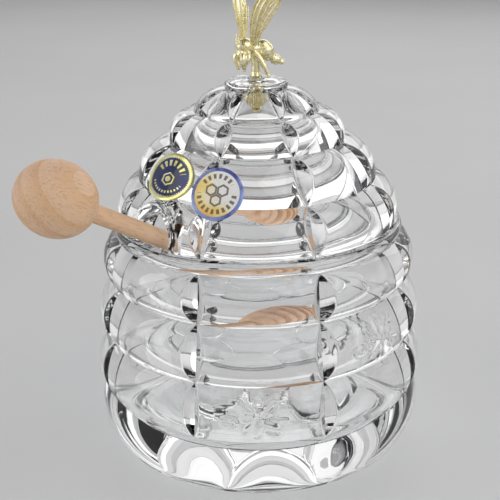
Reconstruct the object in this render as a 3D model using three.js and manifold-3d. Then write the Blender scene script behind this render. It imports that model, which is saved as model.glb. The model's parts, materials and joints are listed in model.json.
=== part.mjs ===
// A crystal honey jar in the shape of a straw beehive: a thick pressed and cut glass pot,
// a loose domed glass lid with an arched notch for the dipper, a gilt bee as the lid's knob,
// a turned wooden dipper that leans out through the notch, and two foil seals.
// Millimetres, +Z up. The origin is the centre of the foot, on the table.
// Azimuths are measured about Z from the front (-Y) towards +X.

import * as THREE from "three";
import { mergeVertices } from "three/addons/utils/BufferGeometryUtils.js";
import Module from "manifold-3d";

const wasm = await Module();
wasm.setup();

const degrees = Math.PI / 180;

// Fits and cutting
const seatGap = 0.3; // between two pieces that rest on each other
const overrun = 4; // how far a cutter runs past what it cuts

// Pot
const potHeight = 91;
const potRadius = 63.5; // at the lowest groove, where it is widest between its rings
const potWall = 6; // at the grooves
const potFloor = 14;
const floorCorner = 12; // inside radius where wall meets floor
const floorDish = 1.2; // how much lower the floor's middle is than its edge
const rimWidth = 5.8;
const rimBand = 5; // height of the plain band at the mouth
const rimStepShare = 0.25; // of the band, over which it leans in from the top groove
const rimRound = 2;
const footRound = 1.6;
// Grooves between the rings, from the foot up to the plain band
const potGrooveRadiusShares = [0.945, 1, 0.964, 0.913, 0.885];
const potGrooveHeightShares = [0, 0.285, 0.529, 0.785, 1];
const rimRadiusShare = 0.894;
// How far each ring stands out of the line between its grooves, as a share of that line
const potBulgeShares = [0.14, 0.175, 0.2, 0.25];
const potInsideSteps = 6;

// Cuts
const panelCount = 8;
const cutHalfAngle = 41 * degrees; // half the angle of the cutting wheel's edge
const cutBite = 0.3; // how far a cut runs below the grooves that it joins
// Scoops under the foot, each a hollow like the inside of a spoon
const scoopCount = 8;
const scoopInner = 20; // from the middle of the foot to where a scoop starts
const scoopOuter = 60;
const scoopWidth = 40;
const scoopDepth = 4;
const scoopAzimuth = 6.75 * degrees; // of the first scoop
const scoopSides = 20;
const scoopBands = 12;

// Lid
const lidHeight = 53.5;
const lidInset = 2.67; // of its lower edge, from the outside of the pot's rim
const lidWall = 5.4;
const crownThickness = 4.5;
const crownHeight = 2.8; // of the round button on top
const crownRound = 0.9;
const crownSeatRadius = 9.5; // flat underside for the washer and nut
const lidGrooveRadiusShares = [1, 0.854, 0.63, 0.449, 0.22];
const lidGrooveHeightShares = [0, 0.329, 0.626, 0.836, 1];
const crownRadiusShare = 0.235;
const lidBulgeShares = [0.215, 0.19, 0.215, 0.2];
const lidInsideSteps = 8;
const collarDepth = 3; // of the ring that drops inside the mouth
const collarWidth = 2.6;
const collarClearance = 0.5;

// Notch for the dipper
const notchAzimuth = -45 * degrees;
const notchWidth = 19;
const notchHeightShare = 0.2429906542; // of the lid's height
const notchHeight = notchHeightShare * lidHeight;
const lipRadius = 1.9; // of the round bead that frames the notch
const lipSides = 8;
const lipSteps = 12;
const notchArcSteps = 10;

// Bees pressed into the pot, each on the panel and the ring that are so many panels round
// from the front and so many rings up from the foot
const pressedBeeCounts = [[0, 1], [1, 2], [4, 1], [5, 2]];
const pressedLength = 18;
const pressedHeight = 1.3;
// Parts of such a bee as shares of half its length, and its wings' turn in degrees:
// [across, along, half width, half length, turn]
const pressedPartShares = [
  [-0.46, 0.14, 0.18, 0.16, 0],
  [-0.1, 0, 0.26, 0.24, 0],
  [0.4, -0.36, 0.25, 0.52, 48],
  [-0.04, 0.58, 0.22, 0.5, -4],
  [0.42, 0.44, 0.2, 0.52, -38],
];

// Dipper
const shaftRadius = 3.35;
const ballRadius = 13.2; // across the grain
const ballStretch = 1.14; // how much longer than wide the ball is, along the dipper
const ballReach = 50.5; // from the pot's rim to the ball's centre
const headRadius = 12.2;
const headLength = 36;
const headGrooveCount = 6;
const headGrooveDepth = 4.2;
const headEndShare = 0.5; // radius of the head's ends, of its own radius
const dipperTilt = 30.2 * degrees;
const dipperReach = 140; // from the ball's centre to the head's lower end
const tenonRadius = 2.3;
const tenonLength = 10;
const tenonClearance = 0.3;
const neckGap = 0.3;

// Knob fixings
const studRadius = 2;
const studClearance = 0.5;
const studPastNut = 1.4;
const cushionRadius = 4.4;
const cushionThickness = 0.8;
const washerRadius = 5.4;
const washerThickness = 1;
const nutRadius = 4.3;
const nutHeight = 5;
const fluteCount = 16;
const fluteDepth = 0.55;

// Bee
const postHeight = 8; // from the cushion to the bee's belly
const postRadius = 2;
const postFootRadius = 3.2;
const postFootHeight = 1;
const beeLength = 21.4; // from face to sting
const beeWidth = 6.6;
const beeSetback = 1.7; // how far the bee's middle lies behind its post
const beeHeading = -62 * degrees; // azimuth that the face points to
const beeRiseShare = 0.42; // of its width, from its belly to its axis
// Its round parts as shares of half its length and half its width, and their droop in
// degrees: [along from the middle to the tail, rise, half length, half width, droop]
const beePartShares = [
  [-0.75, -0.48, 0.18, 0.68, 0],
  [-0.59, 0.3, 0.33, 0.98, 0],
  [-0.2, 0.05, 0.22, 0.66, 0],
  [0.23, -0.45, 0.38, 1.05, 38],
  [0.64, -1.6, 0.22, 0.62, 15],
  [0.87, -2, 0.15, 0.36, 10],
];
// Its legs, in the same shares, as the places of hip, knee and foot along the bee
const legShares = [[-0.7, -0.78, -0.77], [-0.55, -0.55, -0.59], [-0.25, -0.12, 0.14]];
// How far out its hips, knees and feet lie, and how high its hips and knees
const legAcrossShares = [0.42, 0.95, 1];
const legRiseShares = [-0.3, -0.5];
const legReachShare = 0.92; // of the post's height, down to the feet
const legRadius = 0.9;
// Feelers, in the same shares: [across, along, rise] at root and at tip
const feelerShares = [[0.21, -0.78, 0], [0.3, -0.83, 1.4]];
const limbTipShare = 0.7; // how thick a leg or feeler is at its end
// The outline of a wing from its root up one edge to the tip and down the other, as shares
// of [width, length]: the start and a curve's two handles and end, then the next curve's
const wingHindShares = [[-0.1, 0], [-0.55, 0.35], [-0.65, 0.85], [-0.1, 1]];
const wingForeShares = [[0.4, 0.98], [0.62, 0.5], [0.1, 0]];
const wingThickness = 0.6;
const wingLength = 25.5;
const wingWidth = 6;
const rightWingShare = 0.86; // of the left wings' length
const wingRootShare = 0.42; // of the bee's width, out from its axis
const wingRiseShare = 0.25; // of the bee's width, up from its axis
const leftWingSpread = 14 * degrees; // from upright
const rightWingSpread = 17 * degrees;
const wingTwist = 35 * degrees; // by which the wings' hind edges stand apart
const hindwingShare = 0.72; // of the forewing
const forewingSweep = -6 * degrees; // back from upright
const hindwingSweep = 16 * degrees;
const forewingPlaceShare = -0.34; // of half the bee's length, from its middle to the tail
const hindwingPlaceShare = -0.3;

// Seals, each touching the lid's second ring at a share of that ring's height
const sealThickness = 0.35;
const sealRingCount = 2; // rings of the lid, from its edge, up to the one that carries them
const sealAzimuth = -45.5 * degrees; // of the first seal
// The other shares are of the ring's slant height
const blueSeal = {
  roundRingShare: 0, // from the first seal's middle, along the ring
  halfWidthShare: 0.600150335,
  halfHeightShare: 0.470807590,
  dropShare: 0.056910808, // from where it touches down to its centre
  touchShare: 0.44,
};
const whiteSeal = {
  roundRingShare: 1.091652764,
  halfWidthShare: 0.501849849,
  halfHeightShare: 0.501849849,
  dropShare: 0.201774682,
  touchShare: 0.42,
};

// Facets
const turnSteps = 40;
const ringSteps = 4;
const roundSteps = 2;
const smallTurnSteps = 16;
const ballTurnSteps = 20;
const ballSteps = 11;
const sealSides = 24;
const sealRings = 3;
const rodSides = 6;
const beeBlobSides = 10;
const beeBlobBands = 7;
const pressedSides = 8;
const pressedBands = 5;
const wingCurveSteps = 8;
const weld = 0.0002; // corners closer than this are one corner

// Places that follow from the sizes

const ringsHeight = potHeight - rimBand;
const potGrooves = potGrooveRadiusShares.map((share, i) =>
  new THREE.Vector2(share * potRadius, potGrooveHeightShares[i] * ringsHeight));
const rimRadius = rimRadiusShare * potRadius;
const mouthRadius = rimRadius - rimWidth;
const lidRadius = rimRadius - lidInset; // at its lower edge
const lidBase = potHeight + seatGap;
const lidRise = lidHeight - crownHeight;
const lidGrooves = lidGrooveRadiusShares.map((share, i) =>
  new THREE.Vector2(share * lidRadius, lidBase + lidGrooveHeightShares[i] * lidRise));
const lidTop = lidBase + lidHeight;
const crownRadius = crownRadiusShare * lidRadius;
const crownUnderside = lidTop - crownThickness;
const studHole = studRadius + studClearance;

// Geometry helpers

// Shared corners become one, and triangles that this flattens to a line are dropped
function welded(geometry, distance) {
  const bare = geometry.index ? geometry.toNonIndexed() : geometry.clone();
  bare.deleteAttribute("normal");
  bare.deleteAttribute("uv");
  const merged = mergeVertices(bare, distance);
  const index = merged.index.array;
  const kept = [];
  for (let i = 0; i < index.length; i += 3) {
    const [a, b, c] = [index[i], index[i + 1], index[i + 2]];
    if (a !== b && b !== c && c !== a) kept.push(a, b, c);
  }
  merged.setIndex(kept);
  return merged;
}

function solidFrom(geometry) {
  const merged = welded(geometry, weld / 10);
  const mesh = new wasm.Mesh({
    numProp: 3,
    vertProperties: new Float32Array(merged.attributes.position.array),
    triVerts: new Uint32Array(merged.index.array),
  });
  return new wasm.Manifold(mesh);
}

function geometryFrom(solid) {
  const mesh = solid.getMesh();
  const geometry = new THREE.BufferGeometry();
  geometry.setAttribute("position", new THREE.BufferAttribute(mesh.vertProperties, 3));
  geometry.setIndex(new THREE.BufferAttribute(mesh.triVerts, 1));
  return welded(geometry, weld);
}

function joined(geometries) {
  return geometries.map(solidFrom).reduce((whole, next) => whole.add(next));
}

function cut(solid, cutters) {
  return cutters.reduce((left, cutter) => left.subtract(cutter), solid);
}

// A profile of [radius, height] points turned about Z, with a facet's middle to the front
function turned(points, steps = turnSteps) {
  return new THREE.LatheGeometry(points, steps, Math.PI / steps).rotateX(Math.PI / 2);
}

function point(radius, height) {
  return new THREE.Vector2(radius, height);
}

// The arc from a to b that stands out to the right of the way from a to b, by its share of
// their distance
function arcOver(a, b, share) {
  const chord = b.clone().sub(a);
  const outward = point(chord.y, -chord.x).normalize();
  const rise = share * chord.length();
  const radius = (chord.lengthSq() / 4 + rise * rise) / (2 * rise);
  const centre = a.clone().add(b).multiplyScalar(0.5).addScaledVector(outward, rise - radius);
  const start = Math.atan2(a.y - centre.y, a.x - centre.x);
  const sweep = 2 * Math.asin(chord.length() / 2 / radius);
  return { centre, radius, start, sweep };
}

function onArc(arc, share) {
  const angle = arc.start + arc.sweep * share;
  return point(arc.centre.x + arc.radius * Math.cos(angle), arc.centre.y + arc.radius * Math.sin(angle));
}

function quarter(centre, radius, from, to, steps = roundSteps) {
  const points = [];
  for (let i = 0; i <= steps; i++) {
    const angle = (from + ((to - from) * i) / steps) * degrees;
    points.push(point(centre.x + radius * Math.cos(angle), centre.y + radius * Math.sin(angle)));
  }
  return points;
}

// The rings of a profile, each without its upper end
function rings(grooves, bulgeShares) {
  return bulgeShares.flatMap((share, i) => {
    const arc = arcOver(grooves[i], grooves[i + 1], share);
    return Array.from({ length: ringSteps }, (_, step) => onArc(arc, step / ringSteps));
  });
}

// Moves a geometry from the front of the part to another azimuth
function toAzimuth(geometry, azimuth) {
  return geometry.rotateZ(azimuth);
}

// A closed prism between matching closed loops of points, with flat fans at its ends
function skin(loops) {
  const size = loops[0].length;
  const positions = loops.flat().flatMap((p) => [p.x, p.y, p.z]);
  const index = [];
  for (let i = 0; i + 1 < loops.length; i++) {
    for (let j = 0; j < size; j++) {
      const a = i * size + j;
      const b = i * size + ((j + 1) % size);
      index.push(a, b, b + size, a, b + size, a + size);
    }
  }
  const last = (loops.length - 1) * size;
  for (let j = 1; j + 1 < size; j++) {
    index.push(0, j + 1, j);
    index.push(last, last + j, last + j + 1);
  }
  const geometry = new THREE.BufferGeometry();
  geometry.setAttribute("position", new THREE.Float32BufferAttribute(positions, 3));
  geometry.setIndex(index);
  return geometry;
}

// The mitre cut between two panels: a wheel with a V edge run up over all the rings
function mitre(grooves) {
  const depth = overrun * 2;
  const halfWidth = (depth + cutBite) * Math.tan(cutHalfAngle);
  const loops = grooves.map((groove, i) => {
    const before = grooves[Math.max(i - 1, 0)];
    const after = grooves[Math.min(i + 1, grooves.length - 1)];
    const along = after.clone().sub(before).normalize();
    const outward = point(along.y, -along.x);
    const keel = groove.clone().addScaledVector(outward, -cutBite);
    const brim = groove.clone().addScaledVector(outward, depth);
    return [
      new THREE.Vector3(0, -keel.x, keel.y),
      new THREE.Vector3(-halfWidth, -brim.x, brim.y),
      new THREE.Vector3(halfWidth, -brim.x, brim.y),
    ];
  });
  return skin(loops);
}

function mitres(grooves) {
  const step = 360 / panelCount * degrees;
  return Array.from({ length: panelCount }, (_, i) =>
    solidFrom(toAzimuth(mitre(grooves), (i + 0.5) * step)));
}

// Pot

function potProfile() {
  const foot = potGrooves[0];
  const top = potGrooves[potGrooves.length - 1];
  const floorRadius = potGrooves[1].x - potWall;
  const cornerZ = potFloor + floorCorner;
  const insideLevels = potGrooves.slice(2, 4).reverse();
  const wallLine = new THREE.SplineCurve([
    point(mouthRadius, potHeight - rimRound),
    ...insideLevels.map((groove) => point(groove.x - potWall, groove.y)),
    point(floorRadius, cornerZ),
  ]);
  return [
    point(0, 0),
    point(foot.x - footRound, 0),
    ...rings([point(foot.x, footRound), ...potGrooves.slice(1)], potBulgeShares),
    top,
    point(rimRadius, top.y + rimBand * rimStepShare),
    ...quarter(point(rimRadius - rimRound, potHeight - rimRound), rimRound, 0, 90),
    ...quarter(point(mouthRadius + rimRound, potHeight - rimRound), rimRound, 90, 180),
    ...wallLine.getPoints(potInsideSteps).slice(1),
    ...quarter(point(floorRadius - floorCorner, cornerZ), floorCorner, 0, -90, 2 * roundSteps).slice(1),
    point(0, potFloor - floorDish),
  ];
}

function scoop(azimuth) {
  const hollow = new THREE.SphereGeometry(1, scoopSides, scoopBands);
  hollow.scale(scoopWidth / 2, (scoopOuter - scoopInner) / 2, scoopDepth);
  hollow.translate(0, -(scoopOuter + scoopInner) / 2, 0);
  return toAzimuth(hollow, azimuth);
}

// A plain bee in low relief that follows the bulge of its ring
function pressedBee(panel, ring) {
  const arc = arcOver(potGrooves[ring], potGrooves[ring + 1], potBulgeShares[ring]);
  const size = pressedLength / 2;
  return pressedPartShares.map(([across, along, halfWidth, halfLength, turn]) => {
    const share = 0.5 + (along * size) / (arc.radius * arc.sweep);
    const place = onArc(arc, share);
    const blob = new THREE.SphereGeometry(1, pressedSides, pressedBands);
    blob.scale(halfWidth * size, pressedHeight, halfLength * size);
    blob.rotateY(-turn * degrees);
    blob.rotateX(-(arc.start + arc.sweep * share));
    blob.translate(0, -place.x, place.y);
    return toAzimuth(blob, (panel * 360 / panelCount) * degrees + (across * size) / place.x);
  });
}

function makePot() {
  const scoops = Array.from({ length: scoopCount }, (_, i) =>
    solidFrom(scoop(scoopAzimuth + (i * 360 / scoopCount) * degrees)));
  const cuts = [...mitres(potGrooves.slice(1)), ...scoops];
  const body = cut(solidFrom(turned(potProfile())), cuts);
  const bees = pressedBeeCounts.flatMap(([panel, ring]) => pressedBee(panel, ring));
  return geometryFrom(body.add(joined(bees)));
}

// Lid

function lidProfile() {
  const edge = lidGrooves[0];
  const collarOuter = mouthRadius - collarClearance;
  const collarInner = collarOuter - collarWidth;
  const crownBase = lidGrooves[lidGrooves.length - 1];
  const inside = lidGrooves.slice(1, 4).map((groove, i) => {
    const along = lidGrooves[i + 2].clone().sub(lidGrooves[i]).normalize();
    return groove.clone().addScaledVector(point(along.y, -along.x), -lidWall);
  });
  const wallLine = new THREE.SplineCurve([
    point(crownSeatRadius, crownUnderside),
    ...inside.reverse(),
    point(collarInner, lidBase),
  ]);
  const loop = [
    ...rings(lidGrooves, lidBulgeShares),
    crownBase,
    ...quarter(point(crownRadius - crownRound, lidTop - crownRound), crownRound, 0, 90),
    point(studHole, lidTop),
    point(studHole, crownUnderside),
    ...wallLine.getPoints(lidInsideSteps),
    point(collarInner, lidBase - collarDepth),
    point(collarOuter, lidBase - collarDepth),
    point(collarOuter, lidBase),
  ];
  return [...loop, loop[0]];
}

// The arch of the notch, in its own upright plane, from one foot over to the other
function archPoints(halfWidth, height, foot) {
  const spring = height - halfWidth;
  const points = [point(halfWidth, foot)];
  for (let i = 0; i <= notchArcSteps; i++) {
    const angle = (Math.PI * i) / notchArcSteps;
    points.push(point(halfWidth * Math.cos(angle), spring + halfWidth * Math.sin(angle)));
  }
  points.push(point(-halfWidth, foot));
  return points;
}

function notchCutter() {
  const outline = new THREE.Shape(archPoints(notchWidth / 2, notchHeight, -collarDepth - overrun));
  const tunnel = new THREE.ExtrudeGeometry(outline, { depth: lidRadius, bevelEnabled: false });
  tunnel.rotateX(Math.PI / 2);
  tunnel.translate(0, -lidRadius / 2, lidBase);
  return toAzimuth(tunnel, notchAzimuth);
}

// The bead round the notch follows the lid's lowest ring, leaning back as it climbs
function notchLip() {
  const low = lidGrooves[0];
  const high = lidGrooves[1];
  const lean = (low.x - high.x) / (high.y - low.y);
  const crest = lidBulgeShares[0] * low.distanceTo(high) / 2;
  const beadHalfWidth = notchWidth / 2 + lipRadius;
  const path = archPoints(beadHalfWidth, notchHeight + lipRadius, lipRadius).map((p) => {
    const front = low.x + crest - lean * p.y - (low.x - Math.sqrt(low.x ** 2 - p.x ** 2)) / 2;
    return new THREE.Vector3(p.x, -front, lidBase + p.y);
  });
  const curve = new THREE.CatmullRomCurve3(path);
  const section = new THREE.Shape(quarter(point(0, 0), lipRadius, 0, 360, lipSides).slice(1));
  const bead = new THREE.ExtrudeGeometry(section, { steps: lipSteps, extrudePath: curve });
  return toAzimuth(bead, notchAzimuth);
}

function makeLid() {
  const shell = cut(solidFrom(turned(lidProfile())), mitres(lidGrooves));
  return geometryFrom(shell.add(solidFrom(notchLip())).subtract(solidFrom(notchCutter())));
}

// Knob

function disc(radius, thickness, hole, base) {
  const top = base + thickness;
  return turned([
    point(hole, base),
    point(radius, base),
    point(radius, top),
    point(hole, top),
    point(hole, base),
  ], smallTurnSteps);
}

const cushionBase = lidTop + seatGap;
const postBase = cushionBase + cushionThickness + seatGap;
const beeBelly = postBase + postHeight;
const washerBase = crownUnderside - seatGap - washerThickness;
const nutBase = washerBase - seatGap - nutHeight;

function makeStud() {
  const bottom = nutBase - studPastNut;
  return turned([
    point(0, bottom),
    point(studRadius, bottom),
    point(studRadius, postBase - seatGap),
    point(0, postBase - seatGap),
  ], smallTurnSteps);
}

// Round nut with a fluted rim for the fingers
function makeNut() {
  const outline = new THREE.Shape();
  const count = fluteCount * 2;
  for (let i = 0; i < count; i++) {
    const radius = nutRadius - (i % 2 ? fluteDepth : 0);
    const angle = (2 * Math.PI * i) / count;
    const [x, y] = [radius * Math.cos(angle), radius * Math.sin(angle)];
    if (i === 0) outline.moveTo(x, y);
    else outline.lineTo(x, y);
  }
  outline.closePath();
  const hole = new THREE.Path();
  hole.absarc(0, 0, studRadius + seatGap, 0, 2 * Math.PI, true);
  outline.holes.push(hole);
  const nut = new THREE.ExtrudeGeometry(outline, {
    depth: nutHeight,
    bevelEnabled: false,
    curveSegments: smallTurnSteps / 2,
  });
  return nut.translate(0, 0, nutBase);
}

function ellipsoid(halfX, halfY, halfZ) {
  return new THREE.SphereGeometry(1, beeBlobSides, beeBlobBands).scale(halfX, halfY, halfZ);
}

// A round rod between points, thinner at its far end when tip is less than one
function rod(from, to, radius, tip = 1) {
  const way = to.clone().sub(from);
  const bar = new THREE.CylinderGeometry(radius * tip, radius, way.length(), rodSides);
  bar.translate(0, way.length() / 2, 0);
  const turn = new THREE.Quaternion().setFromUnitVectors(new THREE.Vector3(0, 1, 0), way.normalize());
  return bar.applyQuaternion(turn).translate(from.x, from.y, from.z);
}

// The bee faces -Y here and is turned to its heading afterwards
const beeHalf = beeLength / 2;
const beeHalfWidth = beeWidth / 2;
const beeAxis = beeBelly + beeWidth * beeRiseShare;

function onBee(across, along, rise) {
  return new THREE.Vector3(
    across * beeHalfWidth, along * beeHalf + beeSetback, beeAxis + rise * beeHalfWidth);
}

function beeTurned(geometry) {
  return toAzimuth(geometry, beeHeading);
}

function bodyPart([along, rise, halfLength, halfWidth, droop]) {
  const blob = ellipsoid(
    halfWidth * beeHalfWidth, halfLength * beeHalf, halfWidth * beeHalfWidth);
  const place = onBee(0, along, rise);
  return blob.rotateX(-droop * degrees).translate(place.x, place.y, place.z);
}

// A leg goes out from the thorax to its knee and down to its foot
function leg(side, [hipAlong, kneeAlong, footAlong]) {
  const [hipOut, kneeOut, footOut] = legAcrossShares.map((share) => side * share);
  const hip = onBee(hipOut, hipAlong, legRiseShares[0]);
  const knee = onBee(kneeOut, kneeAlong, legRiseShares[1]);
  const foot = onBee(footOut, footAlong, 0).setZ(beeBelly - postHeight * legReachShare);
  const joint = ellipsoid(legRadius, legRadius, legRadius).translate(knee.x, knee.y, knee.z);
  return [rod(hip, knee, legRadius), joint, rod(knee, foot, legRadius, limbTipShare)];
}

function feeler(side) {
  const [root, tip] = feelerShares.map(([across, along, rise]) => onBee(side * across, along, rise));
  return rod(root, tip, legRadius * limbTipShare, limbTipShare);
}

function makeBee() {
  const parts = beePartShares.map(bodyPart);
  for (const side of [-1, 1]) {
    parts.push(feeler(side), ...legShares.flatMap((shares) => leg(side, shares)));
  }
  const post = turned([
    point(0, postBase),
    point(postFootRadius, postBase),
    point(postFootRadius, postBase + postFootHeight / 2),
    point(postRadius, postBase + postFootHeight),
    point(postRadius, beeAxis),
    point(0, beeAxis),
  ], smallTurnSteps);
  return geometryFrom(joined([...parts.map(beeTurned), post]));
}

// A wing as a flat rounded blade, its root at the origin and its tip up
function wingOutline(length, width) {
  const [rootHind, ...hindEdge] = wingHindShares.map(([across, up]) => [across * width, up * length]);
  const foreEdge = wingForeShares.map(([across, up]) => [across * width, up * length]);
  const outline = new THREE.Shape();
  outline.moveTo(...rootHind);
  outline.bezierCurveTo(...hindEdge.flat());
  outline.bezierCurveTo(...foreEdge.flat());
  outline.closePath();
  return outline;
}

function wing(side, sizeShare, sweep, placeShare) {
  const length = wingLength * sizeShare * (side < 0 ? rightWingShare : 1);
  const outline = wingOutline(length, wingWidth * sizeShare);
  const blade = new THREE.ExtrudeGeometry(outline, {
    depth: wingThickness,
    bevelEnabled: false,
    curveSegments: wingCurveSteps,
  });
  blade.translate(0, 0, -wingThickness / 2);
  blade.rotateX(Math.PI / 2);
  blade.rotateZ(Math.PI / 2 - side * wingTwist);
  blade.rotateX(-sweep);
  blade.rotateY(side < 0 ? -rightWingSpread : leftWingSpread);
  const out = side * beeWidth * wingRootShare;
  const rise = beeWidth * wingRiseShare;
  return blade.translate(out, beeHalf * placeShare + beeSetback, beeAxis + rise);
}

function makeWings(side) {
  const fore = wing(side, 1, forewingSweep, forewingPlaceShare);
  const hind = wing(side, hindwingShare, hindwingSweep, hindwingPlaceShare);
  return geometryFrom(joined([fore, hind].map(beeTurned)));
}

// Dipper, built along its own axis with the ball's centre at zero and the head below it
const rimCorner = point(mouthRadius + rimRound, potHeight - rimRound);
const seatDistance = rimRound + seatGap + shaftRadius;
const axisAtRim = point(
  rimCorner.x - seatDistance * Math.sin(dipperTilt),
  rimCorner.y + seatDistance * Math.cos(dipperTilt));
const ballCentre = point(
  axisAtRim.x + ballReach * Math.cos(dipperTilt),
  axisAtRim.y + ballReach * Math.sin(dipperTilt));
const headTop = dipperReach - headLength;
// From the ball's centre to the flat where the shaft enters it
const ballFlat = ballStretch * Math.sqrt(ballRadius ** 2 - shaftRadius ** 2);

function toDipper(geometry) {
  geometry.rotateX(Math.PI / 2 - dipperTilt);
  geometry.translate(0, -ballCentre.x, ballCentre.y);
  return toAzimuth(geometry, notchAzimuth);
}

function makeBall() {
  const socketRadius = tenonRadius + tenonClearance;
  const socketDepth = tenonLength + tenonClearance;
  const mouthAngle = -90 + Math.asin(shaftRadius / ballRadius) / degrees;
  const round = quarter(point(0, 0), ballRadius, mouthAngle, 90, ballSteps);
  return toDipper(turned([
    point(0, -ballFlat + socketDepth),
    point(socketRadius, -ballFlat + socketDepth),
    point(socketRadius, -ballFlat),
    ...round.map(({ x, y }) => point(x, y * ballStretch)),
  ], ballTurnSteps));
}

function makeShaft() {
  const shoulder = -ballFlat - neckGap;
  return toDipper(turned([
    point(0, -headTop + tenonClearance - tenonLength),
    point(tenonRadius, -headTop + tenonClearance - tenonLength),
    point(tenonRadius, -headTop + neckGap),
    point(shaftRadius, -headTop + neckGap),
    point(shaftRadius, shoulder),
    point(tenonRadius, shoulder),
    point(tenonRadius, -ballFlat + tenonLength),
    point(0, -ballFlat + tenonLength),
  ], smallTurnSteps));
}

// The head is an olive cut by square-bottomed grooves that hold the honey
function makeHead() {
  const socketRadius = tenonRadius + tenonClearance;
  const cell = headLength / (2 * headGrooveCount + 1);
  const swell = (s) => headRadius * (headEndShare + (1 - headEndShare) * Math.sin(Math.PI * s));
  const outline = [point(0, -headTop - headLength)];
  for (let i = 0; i <= 2 * headGrooveCount; i++) {
    const low = i * cell;
    const inset = i % 2 ? headGrooveDepth * Math.sin(Math.PI * (low + cell / 2) / headLength) : 0;
    const base = -headTop - headLength;
    outline.push(point(swell(low / headLength) - inset, base + low));
    outline.push(point(swell((low + cell) / headLength) - inset, base + low + cell));
  }
  outline.push(point(socketRadius, -headTop));
  outline.push(point(socketRadius, -headTop - tenonLength - tenonClearance));
  outline.push(point(0, -headTop - tenonLength - tenonClearance));
  return toDipper(turned(outline, ballTurnSteps));
}

// Seals

// A round or oval plate, bent round the lid's axis as far as the ring under it is
function makeSeal({ roundRingShare, halfWidthShare, halfHeightShare, dropShare, touchShare }) {
  const [low, high] = lidGrooves.slice(sealRingCount - 1, sealRingCount + 1);
  const arc = arcOver(low, high, lidBulgeShares[sealRingCount - 1]);
  const slant = low.distanceTo(high);
  const lean = arc.start + arc.sweep * touchShare;
  const place = onArc(arc, touchShare);
  const outer = -sealThickness - seatGap;
  const ringShares = Array.from({ length: sealRings + 1 }, (_, i) => i / sealRings);
  const face = ringShares.map((share) => point(share, outer));
  const back = ringShares.map((share) => point(share, -seatGap)).reverse();
  const seal = new THREE.LatheGeometry([...face, ...back], sealSides);
  seal.scale(halfWidthShare * slant, 1, halfHeightShare * slant);
  const corners = seal.attributes.position;
  for (let i = 0; i < corners.count; i++) {
    const bend = place.x - Math.sqrt(place.x ** 2 - corners.getX(i) ** 2);
    corners.setY(i, corners.getY(i) + bend);
  }
  seal.translate(0, 0, -dropShare * slant);
  seal.rotateX(-lean);
  seal.translate(0, -place.x, place.y);
  return toAzimuth(seal, sealAzimuth + roundRingShare * slant / place.x);
}

// Assembly

const glass = { color: 0xe9eef0, roughness: 0.03, metalness: 0 };
const gilt = { color: 0xd9bd72, roughness: 0.22, metalness: 1 };
const beech = { color: 0xd8b08a, roughness: 0.6, metalness: 0 };
const blueFoil = { color: 0x1b2550, roughness: 0.3, metalness: 0.3 };
const whiteFoil = { color: 0xe9e4d2, roughness: 0.3, metalness: 0.2 };

const part = new THREE.Group();

function addPiece(name, geometry, finish) {
  const mesh = new THREE.Mesh(geometry, new THREE.MeshStandardMaterial(finish));
  mesh.name = name;
  part.add(mesh);
}

addPiece("pot", makePot(), glass);
addPiece("lid", makeLid(), glass);
addPiece("bee", makeBee(), gilt);
addPiece("left_wings", makeWings(1), gilt);
addPiece("right_wings", makeWings(-1), gilt);
addPiece("knob_stud", makeStud(), gilt);
addPiece("cushion_washer", disc(cushionRadius, cushionThickness, studHole, cushionBase), glass);
addPiece("lower_washer", disc(washerRadius, washerThickness, studHole, washerBase), gilt);
addPiece("fluted_nut", makeNut(), gilt);
addPiece("dipper_ball", makeBall(), beech);
addPiece("dipper_shaft", makeShaft(), beech);
addPiece("dipper_head", makeHead(), beech);
addPiece("blue_seal", makeSeal(blueSeal), blueFoil);
addPiece("white_seal", makeSeal(whiteSeal), whiteFoil);

export default part;
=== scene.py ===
"""Cut crystal honey jar: the looks of every piece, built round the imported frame.

Metres, +Z up, the origin at the centre of the foot. Azimuths are measured about Z from the
front (-Y) towards +X, as on the frame.
"""

import json
import math

import bmesh
import bpy
from bpy.props import FloatProperty, FloatVectorProperty, IntProperty, PointerProperty
from mathutils import Matrix, Vector, noise


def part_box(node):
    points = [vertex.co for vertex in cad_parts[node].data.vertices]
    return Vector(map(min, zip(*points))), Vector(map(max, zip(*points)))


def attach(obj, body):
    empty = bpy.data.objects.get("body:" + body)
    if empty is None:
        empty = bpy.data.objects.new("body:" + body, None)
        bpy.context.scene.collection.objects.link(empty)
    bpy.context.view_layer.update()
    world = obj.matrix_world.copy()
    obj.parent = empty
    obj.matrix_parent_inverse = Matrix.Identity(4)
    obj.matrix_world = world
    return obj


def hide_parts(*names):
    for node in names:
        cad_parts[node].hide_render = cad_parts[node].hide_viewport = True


bl_info = {
    "name": "Crystal honey jar",
    "version": (1, 0, 0),
    "blender": (4, 5, 0),
    "location": "View3D > Sidebar > Honey jar",
    "description": "Builds the glass, knob, dipper and seals of a beehive honey jar",
    "category": "Object",
}

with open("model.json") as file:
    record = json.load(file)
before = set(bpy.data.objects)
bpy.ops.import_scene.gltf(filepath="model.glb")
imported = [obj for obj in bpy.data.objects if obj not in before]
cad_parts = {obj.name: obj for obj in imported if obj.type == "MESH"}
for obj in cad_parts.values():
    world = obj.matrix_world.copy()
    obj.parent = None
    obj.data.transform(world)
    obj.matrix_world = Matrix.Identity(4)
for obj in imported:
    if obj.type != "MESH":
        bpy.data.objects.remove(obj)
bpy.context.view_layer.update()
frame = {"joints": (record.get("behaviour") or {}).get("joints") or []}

MM = 0.001

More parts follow.
